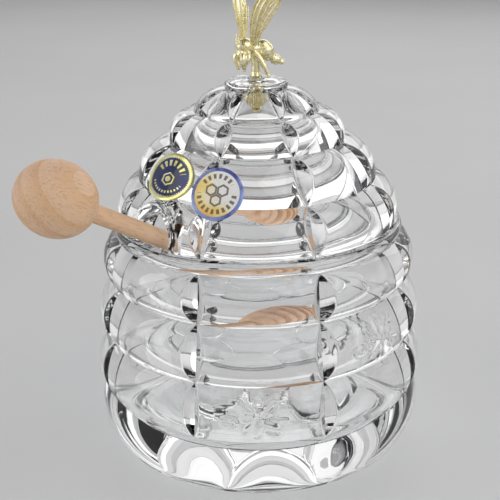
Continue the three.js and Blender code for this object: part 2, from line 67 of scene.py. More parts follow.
# Shapes of the glass, as shares of its radius and of the height of its rings
POT_GROOVE_SHARES = ((0.945, 0), (1, 0.285), (0.964, 0.529), (0.913, 0.785), (0.885, 1))
POT_BULGE_SHARES = (0.14, 0.16, 0.2, 0.25)
LID_GROOVE_SHARES = ((1, 0), (0.854, 0.329), (0.63, 0.626), (0.449, 0.836), (0.22, 1))
LID_BULGE_SHARES = (0.215, 0.19, 0.215, 0.15)
PANELS = 8
SCOOPS = 8
COLUMNS = 384
RING_STEPS = 20
UNDER_STEPS = 6
FOOT_STEPS = 4
HALF_PANEL = math.pi / PANELS
LEAF_COLUMN_SHARE = 0.42
# Waves in the glass: how high, or for the crown's edge as a share, and how many to the metre
SIDE_RIPPLE = (0.12 * MM, 60)
FLOOR_RIPPLE = (0.06 * MM, 70)
CROWN_RIPPLE = (0.5 * MM, 190)
CROWN_EDGE_RIPPLE = (0.06, 130)
POT_FOOT_ROUND, POT_RIM_ROUND = 1.6 * MM, 2 * MM
POT_FLOOR_CORNER, POT_FLOOR_DISH = 12 * MM, 1.2 * MM
# Step from the top groove to the plain band: back from the band, up from the groove
RIM_STEP = ((0.3 * MM, 0.7 * MM), (0, 1.25 * MM))
# Where the cuts run out past the first and last groove that they cross
POT_CUT_FADE, LID_CUT_FADE = 5 * MM, 1 * MM
# Without waves: from the rim down, from the seat up, round the crown's underside and the hole
CALM_RIM, CALM_SEAT = 4 * MM, 3 * MM
CALM_CROWN_SHARE, CALM_HOLE_SHARE = 1.2, 1.6

# Bees pressed into the pot, as (panel, ring) counted from the front and from the foot
PRESSED_BEES = ((0, 1), (1, 2), (4, 1), (5, 2))
# Parts of such a bee as shares of half its length:
# across, along, half width, half length, turn in degrees, height, a ring and not a dome
RELIEF_BLOBS = (
    (-0.42, 0.16, 0.2, 0.18, 0, 0.8, False),
    (-0.08, 0.0, 0.3, 0.28, 0, 1.0, False),
    (0.42, -0.38, 0.27, 0.5, 48, 1.0, False),
    (-0.06, 0.6, 0.26, 0.5, 12, 0.7, True),
    (0.44, 0.48, 0.24, 0.5, -34, 0.7, True),
    (-1.25, -0.16, 0.22, 0.36, 82, 0.7, True),
)
# Its legs and feelers, from and to, in the same shares, with their half width and height
RELIEF_LINES = (
    ((-0.5, 0.28), (-0.8, 0.6)),
    ((-0.26, -0.2), (-0.62, -0.56)),
    ((0.04, -0.3), (-0.1, -0.84)),
    ((0.34, 0.0), (1.1, -0.1)),
)
RELIEF_LINE_WIDTH, RELIEF_LINE_HEIGHT = 0.09, 0.5
# How far from its middle such a bee reaches: to the left, to the right, and up or down
RELIEF_REACH = (1.9, 1.3, 1.2)
RELIEF_FACE_INSET = 0.05
RELIEF_HALVINGS = 2
LEAST_RELIEF = 0.001 * MM


def glass_sizes():
    return bpy.context.scene.jar_glass


# Outlines

def arc_over(low, high, share):
    """The arc from low to high that stands out by share of their distance."""
    chord = high - low
    outward = Vector((chord.y, -chord.x)).normalized()
    rise = share * chord.length
    radius = (chord.length_squared / 4 + rise * rise) / (2 * rise)
    centre = (low + high) / 2 + outward * (rise - radius)
    start = math.atan2(low.y - centre.y, low.x - centre.x)
    sweep = 2 * math.asin(chord.length / 2 / radius)
    return centre, radius, start, sweep


def on_arc(arc, share):
    centre, radius, start, sweep = arc
    angle = start + sweep * share
    return centre + radius * Vector((math.cos(angle), math.sin(angle)))


def round_corner(centre, radius, start, end, steps):
    """Points of a round corner, its angles in degrees."""
    points = []
    for step in range(steps + 1):
        angle = math.radians(start + (end - start) * step / steps)
        points.append(centre + radius * Vector((math.cos(angle), math.sin(angle))))
    return points


def ring_points(grooves, bulges, steps):
    """The rings between the grooves, closer together near each groove."""
    points = []
    for low, high, bulge in zip(grooves, grooves[1:], bulges):
        arc = arc_over(low, high, bulge)
        shares = [(1 - math.cos(math.pi * step / steps)) / 2 for step in range(steps)]
        points += [on_arc(arc, share) for share in shares]
    return points


def eased(points, steps):
    """A smooth line through a few points."""
    line = []
    last = len(points) - 1
    for index in range(last):
        a, b, c, d = (points[max(0, min(last, index + k))] for k in (-1, 0, 1, 2))
        for step in range(steps):
            t = step / steps
            line.append(0.5 * (2 * b + (c - a) * t + (2 * a - 5 * b + 4 * c - d) * t * t
                               + (3 * b - a - 3 * c + d) * t ** 3))
    return line + [points[-1]]


def straight(start, end, steps):
    return [start.lerp(end, step / steps) for step in range(1, steps)]


# Meshes

def spun(points, steps, closed=False):
    """A bmesh of an outline turned about Z. Its verts keep their place in the outline."""
    bm = bmesh.new()
    row = bm.verts.layers.int.new("row")
    verts = []
    for index, point in enumerate(points):
        vert = bm.verts.new((0, -point.x, point.y))
        vert[row] = index
        verts.append(vert)
    pairs = list(zip(verts, verts[1:]))
    if closed:
        pairs.append((verts[-1], verts[0]))
    edges = [bm.edges.new(pair) for pair in pairs]
    bmesh.ops.spin(bm, geom=verts + edges, axis=(0, 0, 1), cent=(0, 0, 0), angle=2 * math.pi,
                   steps=steps, use_merge=True)
    bmesh.ops.remove_doubles(bm, verts=bm.verts, dist=0.001 * MM)
    bmesh.ops.recalc_face_normals(bm, faces=bm.faces)
    return bm


def placed(name, data):
    thing = bpy.data.objects.new(name, data)
    bpy.context.scene.collection.objects.link(thing)
    return thing


def smoothed(mesh, sharp):
    mesh.shade_smooth()
    mesh.set_sharp_from_angle(angle=math.radians(sharp))


def made(name, bm, sharp=40):
    """An object with the mesh of a bmesh, smooth but for edges over an angle in degrees."""
    mesh = bpy.data.meshes.new(name)
    bm.to_mesh(mesh)
    bm.free()
    smoothed(mesh, sharp)
    return placed(name, mesh)


def applied(piece, sharp=40):
    """Bakes a piece's modifiers, or a curve's thickness, into a mesh of its own."""
    graph = bpy.context.evaluated_depsgraph_get()
    mesh = bpy.data.meshes.new_from_object(piece.evaluated_get(graph))
    if piece.type == "MESH":
        piece.modifiers.clear()
        old, piece.data = piece.data, mesh
        bpy.data.meshes.remove(old)
    else:
        name = piece.name
        bpy.data.objects.remove(piece)
        piece = placed(name, mesh)
    smoothed(mesh, sharp)
    return piece


def combined(piece, tool, operation):
    """Cuts a closed tool out of a piece, or joins it to the piece, and removes the tool."""
    modifier = piece.modifiers.new(operation.lower(), "BOOLEAN")
    modifier.operation = operation
    modifier.solver = "EXACT"
    modifier.object = tool
    piece = applied(piece)
    bpy.data.objects.remove(tool)
    return piece


def tube(name, points, radii, sides=4):
    """A closed round rod along points, as a curve's thickness made mesh."""
    curve = bpy.data.curves.new(name, "CURVE")
    curve.dimensions = "3D"
    curve.bevel_depth = 1
    curve.bevel_resolution = sides
    curve.use_fill_caps = True
    spline = curve.splines.new("POLY")
    spline.points.add(len(points) - 1)
    for target, place, radius in zip(spline.points, points, radii):
        target.co = (*place, 1)
        target.radius = radius
    return applied(placed(name, curve))


def finished(piece, material, body, nodes):
    """Dresses a piece, hangs it on the body it rides on and hides the nodes it stands for."""
    piece.data.materials.clear()
    piece.data.materials.append(material)
    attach(piece, body)
    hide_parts(*nodes)
    return piece


# Materials

class Recipe:
    """A material's nodes, added one by one."""

    def __init__(self, name):
        self.material = bpy.data.materials.new(name)
        self.material.use_nodes = True
        self.tree = self.material.node_tree
        self.tree.nodes.clear()
        self.output = self.node("ShaderNodeOutputMaterial")

    def node(self, kind, **values):
        node = self.tree.nodes.new(kind)
        for name, value in values.items():
            setattr(node, name, value)
        return node

    def feed(self, socket, value):
        if isinstance(value, bpy.types.NodeSocket):
            self.tree.links.new(value, socket)
        else:
            socket.default_value = value

    def math(self, operation, *values, clamp=False):
        node = self.node("ShaderNodeMath", operation=operation, use_clamp=clamp)
        for socket, value in zip(node.inputs, values):
            self.feed(socket, value)
        return node.outputs[0]

    def plus(self, *values, clamp=False):
        return self.math("ADD", *values, clamp=clamp)

    def minus(self, *values):
        return self.math("SUBTRACT", *values)

    def times(self, *values):
        return self.math("MULTIPLY", *values)

    def most(self, *values, clamp=False):
        return self.math("MAXIMUM", *values, clamp=clamp)

    def unsigned(self, value):
        return self.math("ABSOLUTE", value)

    def placing(self, where, **inputs):
        mapping = self.node("ShaderNodeMapping")
        self.feed(mapping.inputs["Vector"], where)
        for name, value in inputs.items():
            mapping.inputs[name].default_value = value
        return mapping.outputs[0]

    def place(self, turn=(0, 0, 0), move=(0, 0, 0)):
        """A place on the piece, seen from a frame that is turned and moved."""
        coordinates = self.node("ShaderNodeTexCoord")
        return self.placing(coordinates.outputs["Object"], Rotation=turn, Location=move)

    def texture(self, kind, where, **inputs):
        node = self.node(kind)
        self.feed(node.inputs["Vector"], where)
        for name, value in inputs.items():
            node.inputs[name.replace("_", " ")].default_value = value
        return node

    def noise(self, where, scale, detail=2.0, roughness=0.5):
        return self.texture("ShaderNodeTexNoise", where, Scale=scale, Detail=detail,
                            Roughness=roughness).outputs["Fac"]

    def ramp(self, value, *stops):
        """Colours or greys against a value, as (place, colour) stops."""
        node = self.node("ShaderNodeValToRGB")
        node.color_ramp.interpolation = "EASE"
        elements = node.color_ramp.elements
        while len(elements) < len(stops):
            elements.new(0.5)
        for element, (where, colour) in zip(elements, stops):
            element.position = where
            grey = not hasattr(colour, "__len__")
            element.color = (colour, colour, colour, 1) if grey else (*colour, 1)
        self.feed(node.inputs["Fac"], value)
        return node.outputs["Color"]

    def mix(self, share, a, b):
        node = self.node("ShaderNodeMix", data_type="RGBA")
        self.feed(node.inputs["Factor"], share)
        for socket, value in ((node.inputs["A"], a), (node.inputs["B"], b)):
            self.feed(socket, value)
        return node.outputs["Result"]

    def bump(self, height, distance, strength):
        node = self.node("ShaderNodeBump")
        self.feed(node.inputs["Height"], height)
        node.inputs["Distance"].default_value = distance
        node.inputs["Strength"].default_value = strength
        return node.outputs["Normal"]

    def surface(self, **values):
        shader = self.node("ShaderNodeBsdfPrincipled")
        for name, value in values.items():
            self.feed(shader.inputs[name.replace("_", " ")], value)
        self.tree.links.new(shader.outputs[0], self.output.inputs["Surface"])
        return shader


def crystal(name):
    """Clear polished lead glass with the faint ripple of a pressing."""
    recipe = Recipe(name)
    where = recipe.place()
    ripple = recipe.noise(where, 90, detail=1.5)
    smudge = recipe.noise(where, 38, detail=4, roughness=0.6)
    shader = recipe.surface(
        Base_Color=(1, 1, 1, 1),
        Roughness=recipe.ramp(smudge, (0.5, 0.0), (0.8, 0.03)),
        IOR=1.55,
        Transmission_Weight=1.0,
        Normal=recipe.bump(ripple, 0.05 * MM, 0.35),
    )
    lamp_rays = recipe.node("ShaderNodeLightPath")
    clear = recipe.node("ShaderNodeBsdfTransparent")
    clear.inputs["Color"].default_value = (0.93, 0.94, 0.945, 1)
    mixed = recipe.node("ShaderNodeMixShader")
    recipe.feed(mixed.inputs["Fac"], lamp_rays.outputs["Is Shadow Ray"])
    recipe.feed(mixed.inputs[1], shader.outputs[0])
    recipe.feed(mixed.inputs[2], clear.outputs[0])
    recipe.feed(recipe.output.inputs["Surface"], mixed.outputs[0])
    return recipe.material


def gilt(name):
    """Pale gold plate on a cast metal, with olive-brown patches scattered over it by noise as
    painted shade.
    """
    recipe = Recipe(name)
    where = recipe.place()
    # Noise that scatters olive-brown patches over the pale gold: painted shade.
    painted_shade_patches = recipe.noise(where, 520, detail=4, roughness=0.65)
    grain = recipe.noise(where, 1500, detail=3)
    recipe.surface(
        Base_Color=recipe.ramp(painted_shade_patches, (0.3, (0.66, 0.56, 0.26)), (0.44, (0.9, 0.8, 0.46)),
                               (0.62, (0.97, 0.91, 0.64))),
        Metallic=1.0,
        Roughness=recipe.ramp(grain, (0.3, 0.16), (0.75, 0.38)),
        Normal=recipe.bump(grain, 0.1 * MM, 0.45),
    )
    return recipe.material


def beech(name, turn, move):
    """Bare sanded beech, its grain along the dipper, with growth rings and ray flecks."""
    recipe = Recipe(name)
    along = recipe.place(turn=turn, move=move)
    stretched = recipe.placing(along, Scale=(1, 1, 0.12))
    fibre = recipe.noise(stretched, 1300, detail=3)
    drift = recipe.noise(stretched, 60, detail=2)
    flecks = recipe.texture("ShaderNodeTexVoronoi", stretched, Scale=1500)
    fleck = recipe.ramp(flecks.outputs["Distance"], (0.1, 1.0), (0.26, 0.0))
    rings = recipe.texture("ShaderNodeTexWave", along, Scale=52, Distortion=4, Detail=1,
                           Detail_Scale=0.35)
    rings.wave_profile = "SAW"
    pale, warm, dark = (0.8, 0.54, 0.37, 1), (0.72, 0.44, 0.25, 1), (0.42, 0.22, 0.11, 1)
    colour = recipe.mix(recipe.ramp(rings.outputs["Fac"], (0.3, 0.0), (0.97, 0.8)), pale, warm)
    colour = recipe.mix(recipe.ramp(drift, (0.4, 0.0), (0.75, 0.4)), colour, (0.78, 0.5, 0.24, 1))
    colour = recipe.mix(recipe.ramp(fibre, (0.45, 0.0), (0.9, 0.6)), colour, dark)
    colour = recipe.mix(recipe.times(fleck, 0.5), colour, dark)
    recipe.surface(
        Base_Color=colour,
        Roughness=recipe.ramp(fibre, (0.3, 0.5), (0.8, 0.68)),
        Normal=recipe.bump(fibre, 0.06 * MM, 0.6),
    )
    return recipe.material


# Glass

def grooves_of(shares, radius, base, rise):
    return [Vector((radius * across, base + rise * up)) for across, up in shares]


def groove_normals(grooves):
    """The way out of the glass at each groove, square to the line of its neighbours."""
    normals = []
    last = len(grooves) - 1
    for index in range(len(grooves)):
        along = grooves[min(index + 1, last)] - grooves[max(index - 1, 0)]
        normals.append(Vector((along.y, -along.x)).normalized())
    return normals


def soft_min(a, b, width):
    """The lesser of two values, with the corner between them rounded."""
    share = max(0.0, min(1.0, 0.5 + 0.5 * (b - a) / width))
    return b + (a - b) * share - width * share * (1 - share)


def rippled(point, amount, scale):
    return amount * noise.noise(point * scale)


def flat_radius(point):
    return math.hypot(point.x, point.y)


def ripple_inside(vert):
    """Moves a vert of the inside in or out, as the pressing left it."""
    flat = Vector((vert.co.x, vert.co.y, 0))
    vert.co += flat.normalized() * rippled(vert.co, *SIDE_RIPPLE)


class Mitres:
    """The V cuts that part the panels, run by a wheel up over a set of rings."""

    def __init__(self, grooves, first_cut, fade_over):
        sizes = glass_sizes()
        self.grooves = grooves[first_cut:]
        self.normals = groove_normals(self.grooves)
        self.slope = 1 / math.tan(sizes.cut_half_angle)
        self.bite = sizes.cut_bite
        self.softness = sizes.cut_softness
        self.fade_over = fade_over

    def ring_place(self, radius, height):
        """Which ring a point is in, how far up it, and how far above its grooves' line."""
        last = len(self.grooves) - 2
        for ring in range(last + 1):
            low, high = self.grooves[ring], self.grooves[ring + 1]
            chord = high - low
            share = (Vector((radius, height)) - low).dot(chord) / chord.length_squared
            if height <= high.y or ring == last:
                break
        share = max(0.0, min(1.0, share))
        above = Vector((radius, height)) - low.lerp(high, share)
        outward = self.normals[ring].lerp(self.normals[ring + 1], share).normalized()
        return ring, share, above.dot(outward), outward

    def cut(self, vert):
        """Draws a vert's column to the edge of its leaf, and sinks it where the leaf lies."""
        radius = flat_radius(vert.co)
        azimuth = math.atan2(vert.co.x, -vert.co.y)
        offset = (azimuth - HALF_PANEL) % (2 * HALF_PANEL)
        if offset > HALF_PANEL:
            offset -= 2 * HALF_PANEL
        mitre = azimuth - offset
        ring, share, above, outward = self.ring_place(radius, vert.co.z)
        low, high = self.grooves[0].y, self.grooves[-1].y
        inside = min(vert.co.z - low, high - vert.co.z)
        if inside < -self.fade_over:
            return
        strength = 1.0 if inside >= 0 else 1 + inside / self.fade_over
        above = max(above, 0.0) if inside >= 0 else 0.0
        edge = math.asin(min(0.9, (above + self.bite) / self.slope / radius))
        part = abs(offset) / HALF_PANEL
        if part < LEAF_COLUMN_SHARE:
            drawn = edge * (1 - (1 - part / LEAF_COLUMN_SHARE) ** 1.5)
        else:
            rest = (part - LEAF_COLUMN_SHARE) / (1 - LEAF_COLUMN_SHARE)
            drawn = edge + (HALF_PANEL - edge) * rest ** 1.5
        drawn = abs(offset) + (drawn - abs(offset)) * strength
        azimuth = mitre + math.copysign(drawn, offset)
        across = radius * math.sin(drawn)
        sunk = soft_min(above, across * self.slope - self.bite, self.softness)
        depth = above - sunk if inside >= 0 else 0.0
        place = Vector((radius, vert.co.z)) - outward * depth
        vert.co = (place.x * math.sin(azimuth), -place.x * math.cos(azimuth), place.y)


def scoops(first):
    """Every other one of the round-ended scoops in the underside, as tools to cut with."""
    sizes = glass_sizes()
    middle = (sizes.scoop_outer + sizes.scoop_inner) / 2
    half_length = (sizes.scoop_outer - sizes.scoop_inner) / 2
    size = Matrix.Diagonal((sizes.scoop_width / 2, half_length, sizes.scoop_depth, 1))
    bm = bmesh.new()
    for scoop in range(first, SCOOPS, 2):
        azimuth = sizes.scoop_azimuth + scoop * 2 * math.pi / SCOOPS
        place = Matrix.Rotation(azimuth, 4, "Z") @ Matrix.Translation((0, -middle, 0)) @ size
        bmesh.ops.create_uvsphere(bm, u_segments=72, v_segments=40, radius=1, matrix=place)
    return made("scoops", bm)


def relief_height(across, along):
    """Height of a pressed bee at a place in shares of half its length, up to one."""
    height = 0.0
    for left, up, half_width, half_length, turn, top, is_ring in RELIEF_BLOBS:
        angle = math.radians(turn)
        x, y = across - left, along - up
        u = (x * math.cos(angle) + y * math.sin(angle)) / half_width
        v = (y * math.cos(angle) - x * math.sin(angle)) / half_length
        reach = u * u + v * v
        if is_ring:
            dome = math.exp(-((reach ** 0.5 - 0.8) / 0.26) ** 2)
        else:
            dome = math.exp(-1.4 * reach ** 1.5)
        height = max(height, top * dome)
    for (x0, y0), (x1, y1) in RELIEF_LINES:
        way = Vector((x1 - x0, y1 - y0))
        there = Vector((across - x0, along - y0))
        share = max(0.0, min(1.0, there.dot(way) / way.length_squared))
        reach = (there - way * share).length / RELIEF_LINE_WIDTH
        height = max(height, RELIEF_LINE_HEIGHT * math.exp(-reach ** 2))
    return height


def press_bee(bm, grooves, panel, ring):
    """Refines the glass where a bee stands and raises it there."""
    sizes = glass_sizes()
    half = sizes.pressed_length / 2
    arc = arc_over(grooves[ring], grooves[ring + 1], POT_BULGE_SHARES[ring])
    middle = on_arc(arc, 0.5)
    azimuth = panel * 2 * HALF_PANEL

    def local(point):
        turned = Matrix.Rotation(-azimuth, 3, "Z") @ point
        if turned.y > 0:
            return None
        angle = math.atan2(turned.z - arc[0].y, flat_radius(turned) - arc[0].x)
        share = (angle - arc[2]) / arc[3]
        if not 0 <= share <= 1 or flat_radius(turned) < middle.x - half:
            return None
        along = (share - 0.5) * arc[1] * arc[3] / half
        return math.atan2(turned.x, -turned.y) * middle.x / half, along

    def reached(spot, inset):
        left, right, upright = (reach - inset for reach in RELIEF_REACH)
        return spot and -left < spot[0] < right and abs(spot[1]) < upright

    for _ in range(RELIEF_HALVINGS):
        near = set()
        for face in bm.faces:
            if reached(local(face.calc_center_median()), RELIEF_FACE_INSET):
                near.update(face.edges)
        bmesh.ops.subdivide_edges(bm, edges=list(near), cuts=1, use_grid_fill=True)
    lean = arc[2] + arc[3] / 2
    for vert in bm.verts:
        spot = local(vert.co)
        if reached(spot, 0):
            height = relief_height(*spot) * sizes.pressed_height
            if height > LEAST_RELIEF:
                outward = Vector((vert.co.x, vert.co.y, 0)).normalized()
                vert.co += height * (outward * math.cos(lean) + Vector((0, 0, math.sin(lean))))


def pot_outline(grooves, top):
    sizes = glass_sizes()
    mouth = sizes.rim_radius - sizes.rim_width
    foot_round, rim_round, corner = POT_FOOT_ROUND, POT_RIM_ROUND, POT_FLOOR_CORNER
    floor_radius = grooves[1].x - sizes.pot_wall
    corner_height = sizes.pot_floor + corner
    foot = grooves[0]
    under = straight(Vector((0, 0)), Vector((foot.x - foot_round, 0)), UNDER_STEPS)
    inner = [
        Vector((mouth, top - rim_round)),
        Vector((grooves[3].x - sizes.pot_wall, grooves[3].y)),
        Vector((grooves[2].x - sizes.pot_wall, grooves[2].y)),
        Vector((floor_radius, corner_height)),
    ]
    floor_edge = Vector((floor_radius - corner, sizes.pot_floor))
    middle = Vector((0, sizes.pot_floor - POT_FLOOR_DISH))
    rim_out = Vector((sizes.rim_radius - rim_round, top - rim_round))
    rim_in = Vector((mouth + rim_round, top - rim_round))
    return [
        Vector((0, 0)),
        *under,
        *round_corner(Vector((foot.x - foot_round, foot_round)), foot_round, -90, -20,
                      FOOT_STEPS),
        *ring_points([Vector((foot.x, foot_round)), *grooves[1:]], POT_BULGE_SHARES, RING_STEPS),
        grooves[-1],
        *(Vector((sizes.rim_radius - back, grooves[-1].y + up)) for back, up in RIM_STEP),
        *round_corner(rim_out, rim_round, 0, 90, 6),
        *round_corner(rim_in, rim_round, 90, 180, 6),
        *eased(inner, 14)[1:],
        *round_corner(floor_edge + Vector((0, corner)), corner, 0, -90, 9)[1:],
        *straight(floor_edge, middle, 14),
        middle,
    ]


def make_pot():
    """The pot: rings, mitre cuts, scoops under the foot and four pressed bees."""
    sizes = glass_sizes()
    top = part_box("pot")[1].z
    grooves = grooves_of(POT_GROOVE_SHARES, sizes.pot_radius, 0, top - sizes.rim_band)
    outline = pot_outline(grooves, top)
    bm = spun(outline, COLUMNS)
    row = bm.verts.layers.int["row"]
    start = UNDER_STEPS + FOOT_STEPS + 1
    rings = range(start, start + RING_STEPS * len(POT_BULGE_SHARES) + 1)
    mitres = Mitres(grooves, 1, POT_CUT_FADE)
    for vert in bm.verts:
        if vert[row] in rings:
            mitres.cut(vert)
        elif vert.co.z < top - CALM_RIM and vert[row] > rings[-1]:
            ripple_inside(vert)
            vert.co.z += rippled(vert.co, *FLOOR_RIPPLE)
    for panel, ring in PRESSED_BEES:
        press_bee(bm, grooves, panel, ring)
    pot = made("crystal_pot", bm, sharp=60)
    for first in (0, 1):
        pot = combined(pot, scoops(first), "DIFFERENCE")
    return finished(pot, crystal("crystal of the pot"), "jar", ["pot"])


def lid_outline(grooves, base, top):
    sizes = glass_sizes()
    collar_out = sizes.rim_radius - sizes.rim_width - sizes.collar_clearance
    collar_in = collar_out - sizes.collar_width
    collar_round = 0.5 * MM
    foot = base - sizes.collar_depth
    under_crown = top - sizes.crown_thickness
    normals = groove_normals(grooves)
    inner = [groove - normal * sizes.lid_wall for groove, normal in zip(grooves, normals)][1:4]
    crown_round = 1.5 * MM
    crown_corner = Vector((sizes.crown_radius - crown_round, top - crown_round))
    hole = sizes.stud_hole
    seat = Vector((sizes.crown_seat, under_crown))
    swell = arc_over(inner[-1], seat, LID_BULGE_SHARES[-1])
    wall = [seat, *(on_arc(swell, share) for share in (0.75, 0.5, 0.25)), *reversed(inner),
            Vector((collar_in, base))]
    return [
        *ring_points(grooves, LID_BULGE_SHARES, RING_STEPS),
        grooves[-1],
        *round_corner(crown_corner, crown_round, 0, 90, 8),
        *straight(crown_corner + Vector((0, crown_round)), Vector((hole, top)), 16),
        Vector((hole, top)),
        Vector((hole, under_crown)),
        Vector(((hole + sizes.crown_seat) / 2, under_crown)),
        *eased(wall, 16),
        *round_corner(Vector((collar_in + collar_round, foot + collar_round)), collar_round,
                      180, 270, 3),
        *round_corner(Vector((collar_out - collar_round, foot + collar_round)), collar_round,
                      270, 360, 3),
        Vector((collar_out, base)),
        *straight(Vector((collar_out, base)), grooves[0], 3),
    ]


def arch(half_width, height, foot, steps):
    """The outline of the notch in its upright plane, as (across, up)."""
    spring = height - half_width
    points = [(half_width, foot)]
    for step in range(steps + 1):
        angle = math.pi * step / steps
        points.append((half_width * math.cos(angle), spring + half_width * math.sin(angle)))
    return points + [(-half_width, foot)]


def notch_tunnel(base):
    """The prism that the notch is cut with."""
    sizes = glass_sizes()
    bm = bmesh.new()
    outline = arch(sizes.notch_width / 2, sizes.notch_height, -2 * sizes.collar_depth, 32)
    near = -sizes.lid_radius * 1.5
    verts = [bm.verts.new((across, near, base + up)) for across, up in outline]
    face = bm.faces.new(verts)
    out = bmesh.ops.extrude_face_region(bm, geom=[face])
    far = [item for item in out["geom"] if isinstance(item, bmesh.types.BMVert)]
    bmesh.ops.translate(bm, verts=far, vec=(0, sizes.lid_radius, 0))
    bmesh.ops.recalc_face_normals(bm, faces=bm.faces)
    bmesh.ops.rotate(bm, verts=bm.verts, matrix=Matrix.Rotation(sizes.notch_azimuth, 3, "Z"))
    return made("notch_tunnel", bm)


def notch_lip(grooves, base):
    """The bead that frames the notch, leaning back with the lid's lowest ring."""
    sizes = glass_sizes()
    low, high = grooves[0], grooves[1]
    lean = (low.x - high.x) / (high.y - low.y)
    crest = LID_BULGE_SHARES[0] * (high - low).length / 2
    bead = sizes.lip_radius
    turn = Matrix.Rotation(sizes.notch_azimuth, 3, "Z")
    points = []
    for across, up in arch(sizes.notch_width / 2 + bead, sizes.notch_height + bead, bead, 40):
        sag = (low.x - math.sqrt(low.x ** 2 - across ** 2)) / 2
        front = low.x + crest - lean * up - sag
        points.append(turn @ Vector((across, -front, base + up)))
    return tube("notch_lip", points, [bead] * len(points), sides=6)


def lid_levels():
    """The lid's grooves, its lower edge and its top."""
    sizes = glass_sizes()
    low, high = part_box("lid")
    base = low.z + sizes.collar_depth
    rise = high.z - sizes.crown_height - base
    return grooves_of(LID_GROOVE_SHARES, sizes.lid_radius, base, rise), base, high.z


def make_lid():
    """The lid: domed rings with mitre cuts, the crown, the collar, and the notch with its lip."""
    sizes = glass_sizes()
    grooves, base, top = lid_levels()
    bm = spun(lid_outline(grooves, base, top), COLUMNS, closed=True)
    row = bm.verts.layers.int["row"]
    rings = range(0, RING_STEPS * len(LID_BULGE_SHARES) + 1)
    mitres = Mitres(grooves, 0, LID_CUT_FADE)
    for vert in bm.verts:
        if vert[row] in rings:
            mitres.cut(vert)
        elif base + CALM_SEAT < vert.co.z < top - CALM_CROWN_SHARE * sizes.crown_thickness:
            ripple_inside(vert)
        elif (vert.co.z > top - sizes.crown_height
              and flat_radius(vert.co) > CALM_HOLE_SHARE * sizes.stud_hole):
            vert.co.z -= abs(rippled(vert.co, *CROWN_RIPPLE))
            vert.co.xy *= 1 - abs(rippled(vert.co, *CROWN_EDGE_RIPPLE))
    lid = made("crystal_lid", bm, sharp=60)
    lid = combined(lid, notch_lip(grooves, base), "UNION")
    lid = combined(lid, notch_tunnel(base), "DIFFERENCE")
    return finished(lid, crystal("crystal of the lid"), "lid", ["lid"])


# Dipper

def dipper_axis():
    joint = next(joint for joint in frame["joints"] if joint["name"] == "dipper_draw")
    return Vector(joint["axis"]).normalized()


def dipper_frame():
    """Turns +Z into the dipper's way out, with zero at the middle of its ball."""
    low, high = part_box("dipper_ball")
    turn = Vector((0, 0, 1)).rotation_difference(dipper_axis()).to_matrix().to_4x4()
    return Matrix.Translation((low + high) / 2) @ turn


def dipper_reach():
    """From the middle of the ball to the far end of the head."""
    wood = bpy.context.scene.jar_wood
    axis = dipper_axis()
    centre = dipper_frame().translation
    end_radius = wood.head_radius * wood.head_end_share
    rise = math.hypot(axis.x, axis.y)
    return (centre.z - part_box("dipper_head")[0].z - end_radius * rise) / axis.z


def wooden(name, outline, node, steps):
    bm = spun(outline, steps)
    bmesh.ops.transform(bm, matrix=dipper_frame(), verts=bm.verts)
    piece = made(name, bm, sharp=50)
    inverse = dipper_frame().inverted()
    shade = beech("beech of " + name.replace("_", " "), inverse.to_euler(), inverse.translation)
    return finished(piece, shade, "dipper", [node])


def make_dipper():
    """Ball, shaft and head of the dipper, turned in beech."""
    wood = bpy.context.scene.jar_wood
    reach = dipper_reach()
    stretch = wood.ball_stretch
    flat = stretch * math.sqrt(wood.ball_radius ** 2 - wood.shaft_radius ** 2)
    socket = wood.tenon_radius + wood.tenon_gap
    socket_end = -flat + wood.tenon_length + wood.tenon_gap
    mouth = math.degrees(math.asin(wood.shaft_radius / wood.ball_radius)) - 90
    wooden("dipper_ball_turned", [
        Vector((0, socket_end)),
        Vector((socket, socket_end)),
        Vector((socket, -flat)),
        *[Vector((point.x, point.y * stretch))
          for point in round_corner(Vector((0, 0)), wood.ball_radius, mouth + 1, 90, 40)],
    ], "dipper_ball", 64)

    head_top = reach - wood.head_length
    gap = wood.neck_gap
    ease = 0.3 * MM
    wooden("dipper_shaft_turned", [
        Vector((0, -head_top - wood.tenon_length + wood.tenon_gap)),
        Vector((wood.tenon_radius, -head_top - wood.tenon_length + wood.tenon_gap)),
        Vector((wood.tenon_radius, -head_top + gap)),
        Vector((wood.shaft_radius - ease, -head_top + gap)),
        Vector((wood.shaft_radius, -head_top + gap + ease)),
        *straight(Vector((wood.shaft_radius, -head_top + gap + ease)),
                  Vector((wood.shaft_radius, -flat - gap - ease)), 24),
        Vector((wood.shaft_radius, -flat - gap - ease)),
        Vector((wood.shaft_radius - ease, -flat - gap)),
        Vector((wood.tenon_radius, -flat - gap)),
        Vector((wood.tenon_radius, -flat + wood.tenon_length)),
        Vector((0, -flat + wood.tenon_length)),
    ], "dipper_shaft", 40)

    cells = 2 * wood.head_grooves + 1
    cell = wood.head_length / cells
    outline = [Vector((0, -reach))]

    def swell(share):
        rest = 1 - wood.head_end_share
        return wood.head_radius * (wood.head_end_share + rest * math.sin(math.pi * share))

    for index in range(cells):
        low, high = index * cell, (index + 1) * cell
        cut = index % 2
        inset = wood.groove_depth * math.sin(math.pi * (low + cell / 2) / wood.head_length)
        for height, shrink in ((low, ease), (low + ease, 0), (high - ease, 0), (high, ease)):
            radius = swell(height / wood.head_length) - (inset if cut else shrink)
            outline.append(Vector((radius, height - reach)))
    socket_end = -head_top - wood.tenon_length - wood.tenon_gap
    outline += [
        Vector((socket, -head_top)),
        Vector((socket, socket_end)),
        Vector((0, socket_end)),
    ]
    wooden("dipper_head_turned", outline, "dipper_head", 64)


# Knob fixings

THREAD_PITCH, THREAD_DEPTH = 0.7 * MM, 0.3 * MM
WASHER_CLEARANCE, NUT_CLEARANCE = 0.5 * MM, 0.3 * MM
FLUTE_STEPS = 12
FLUTED_EDGE = 0.5 * MM


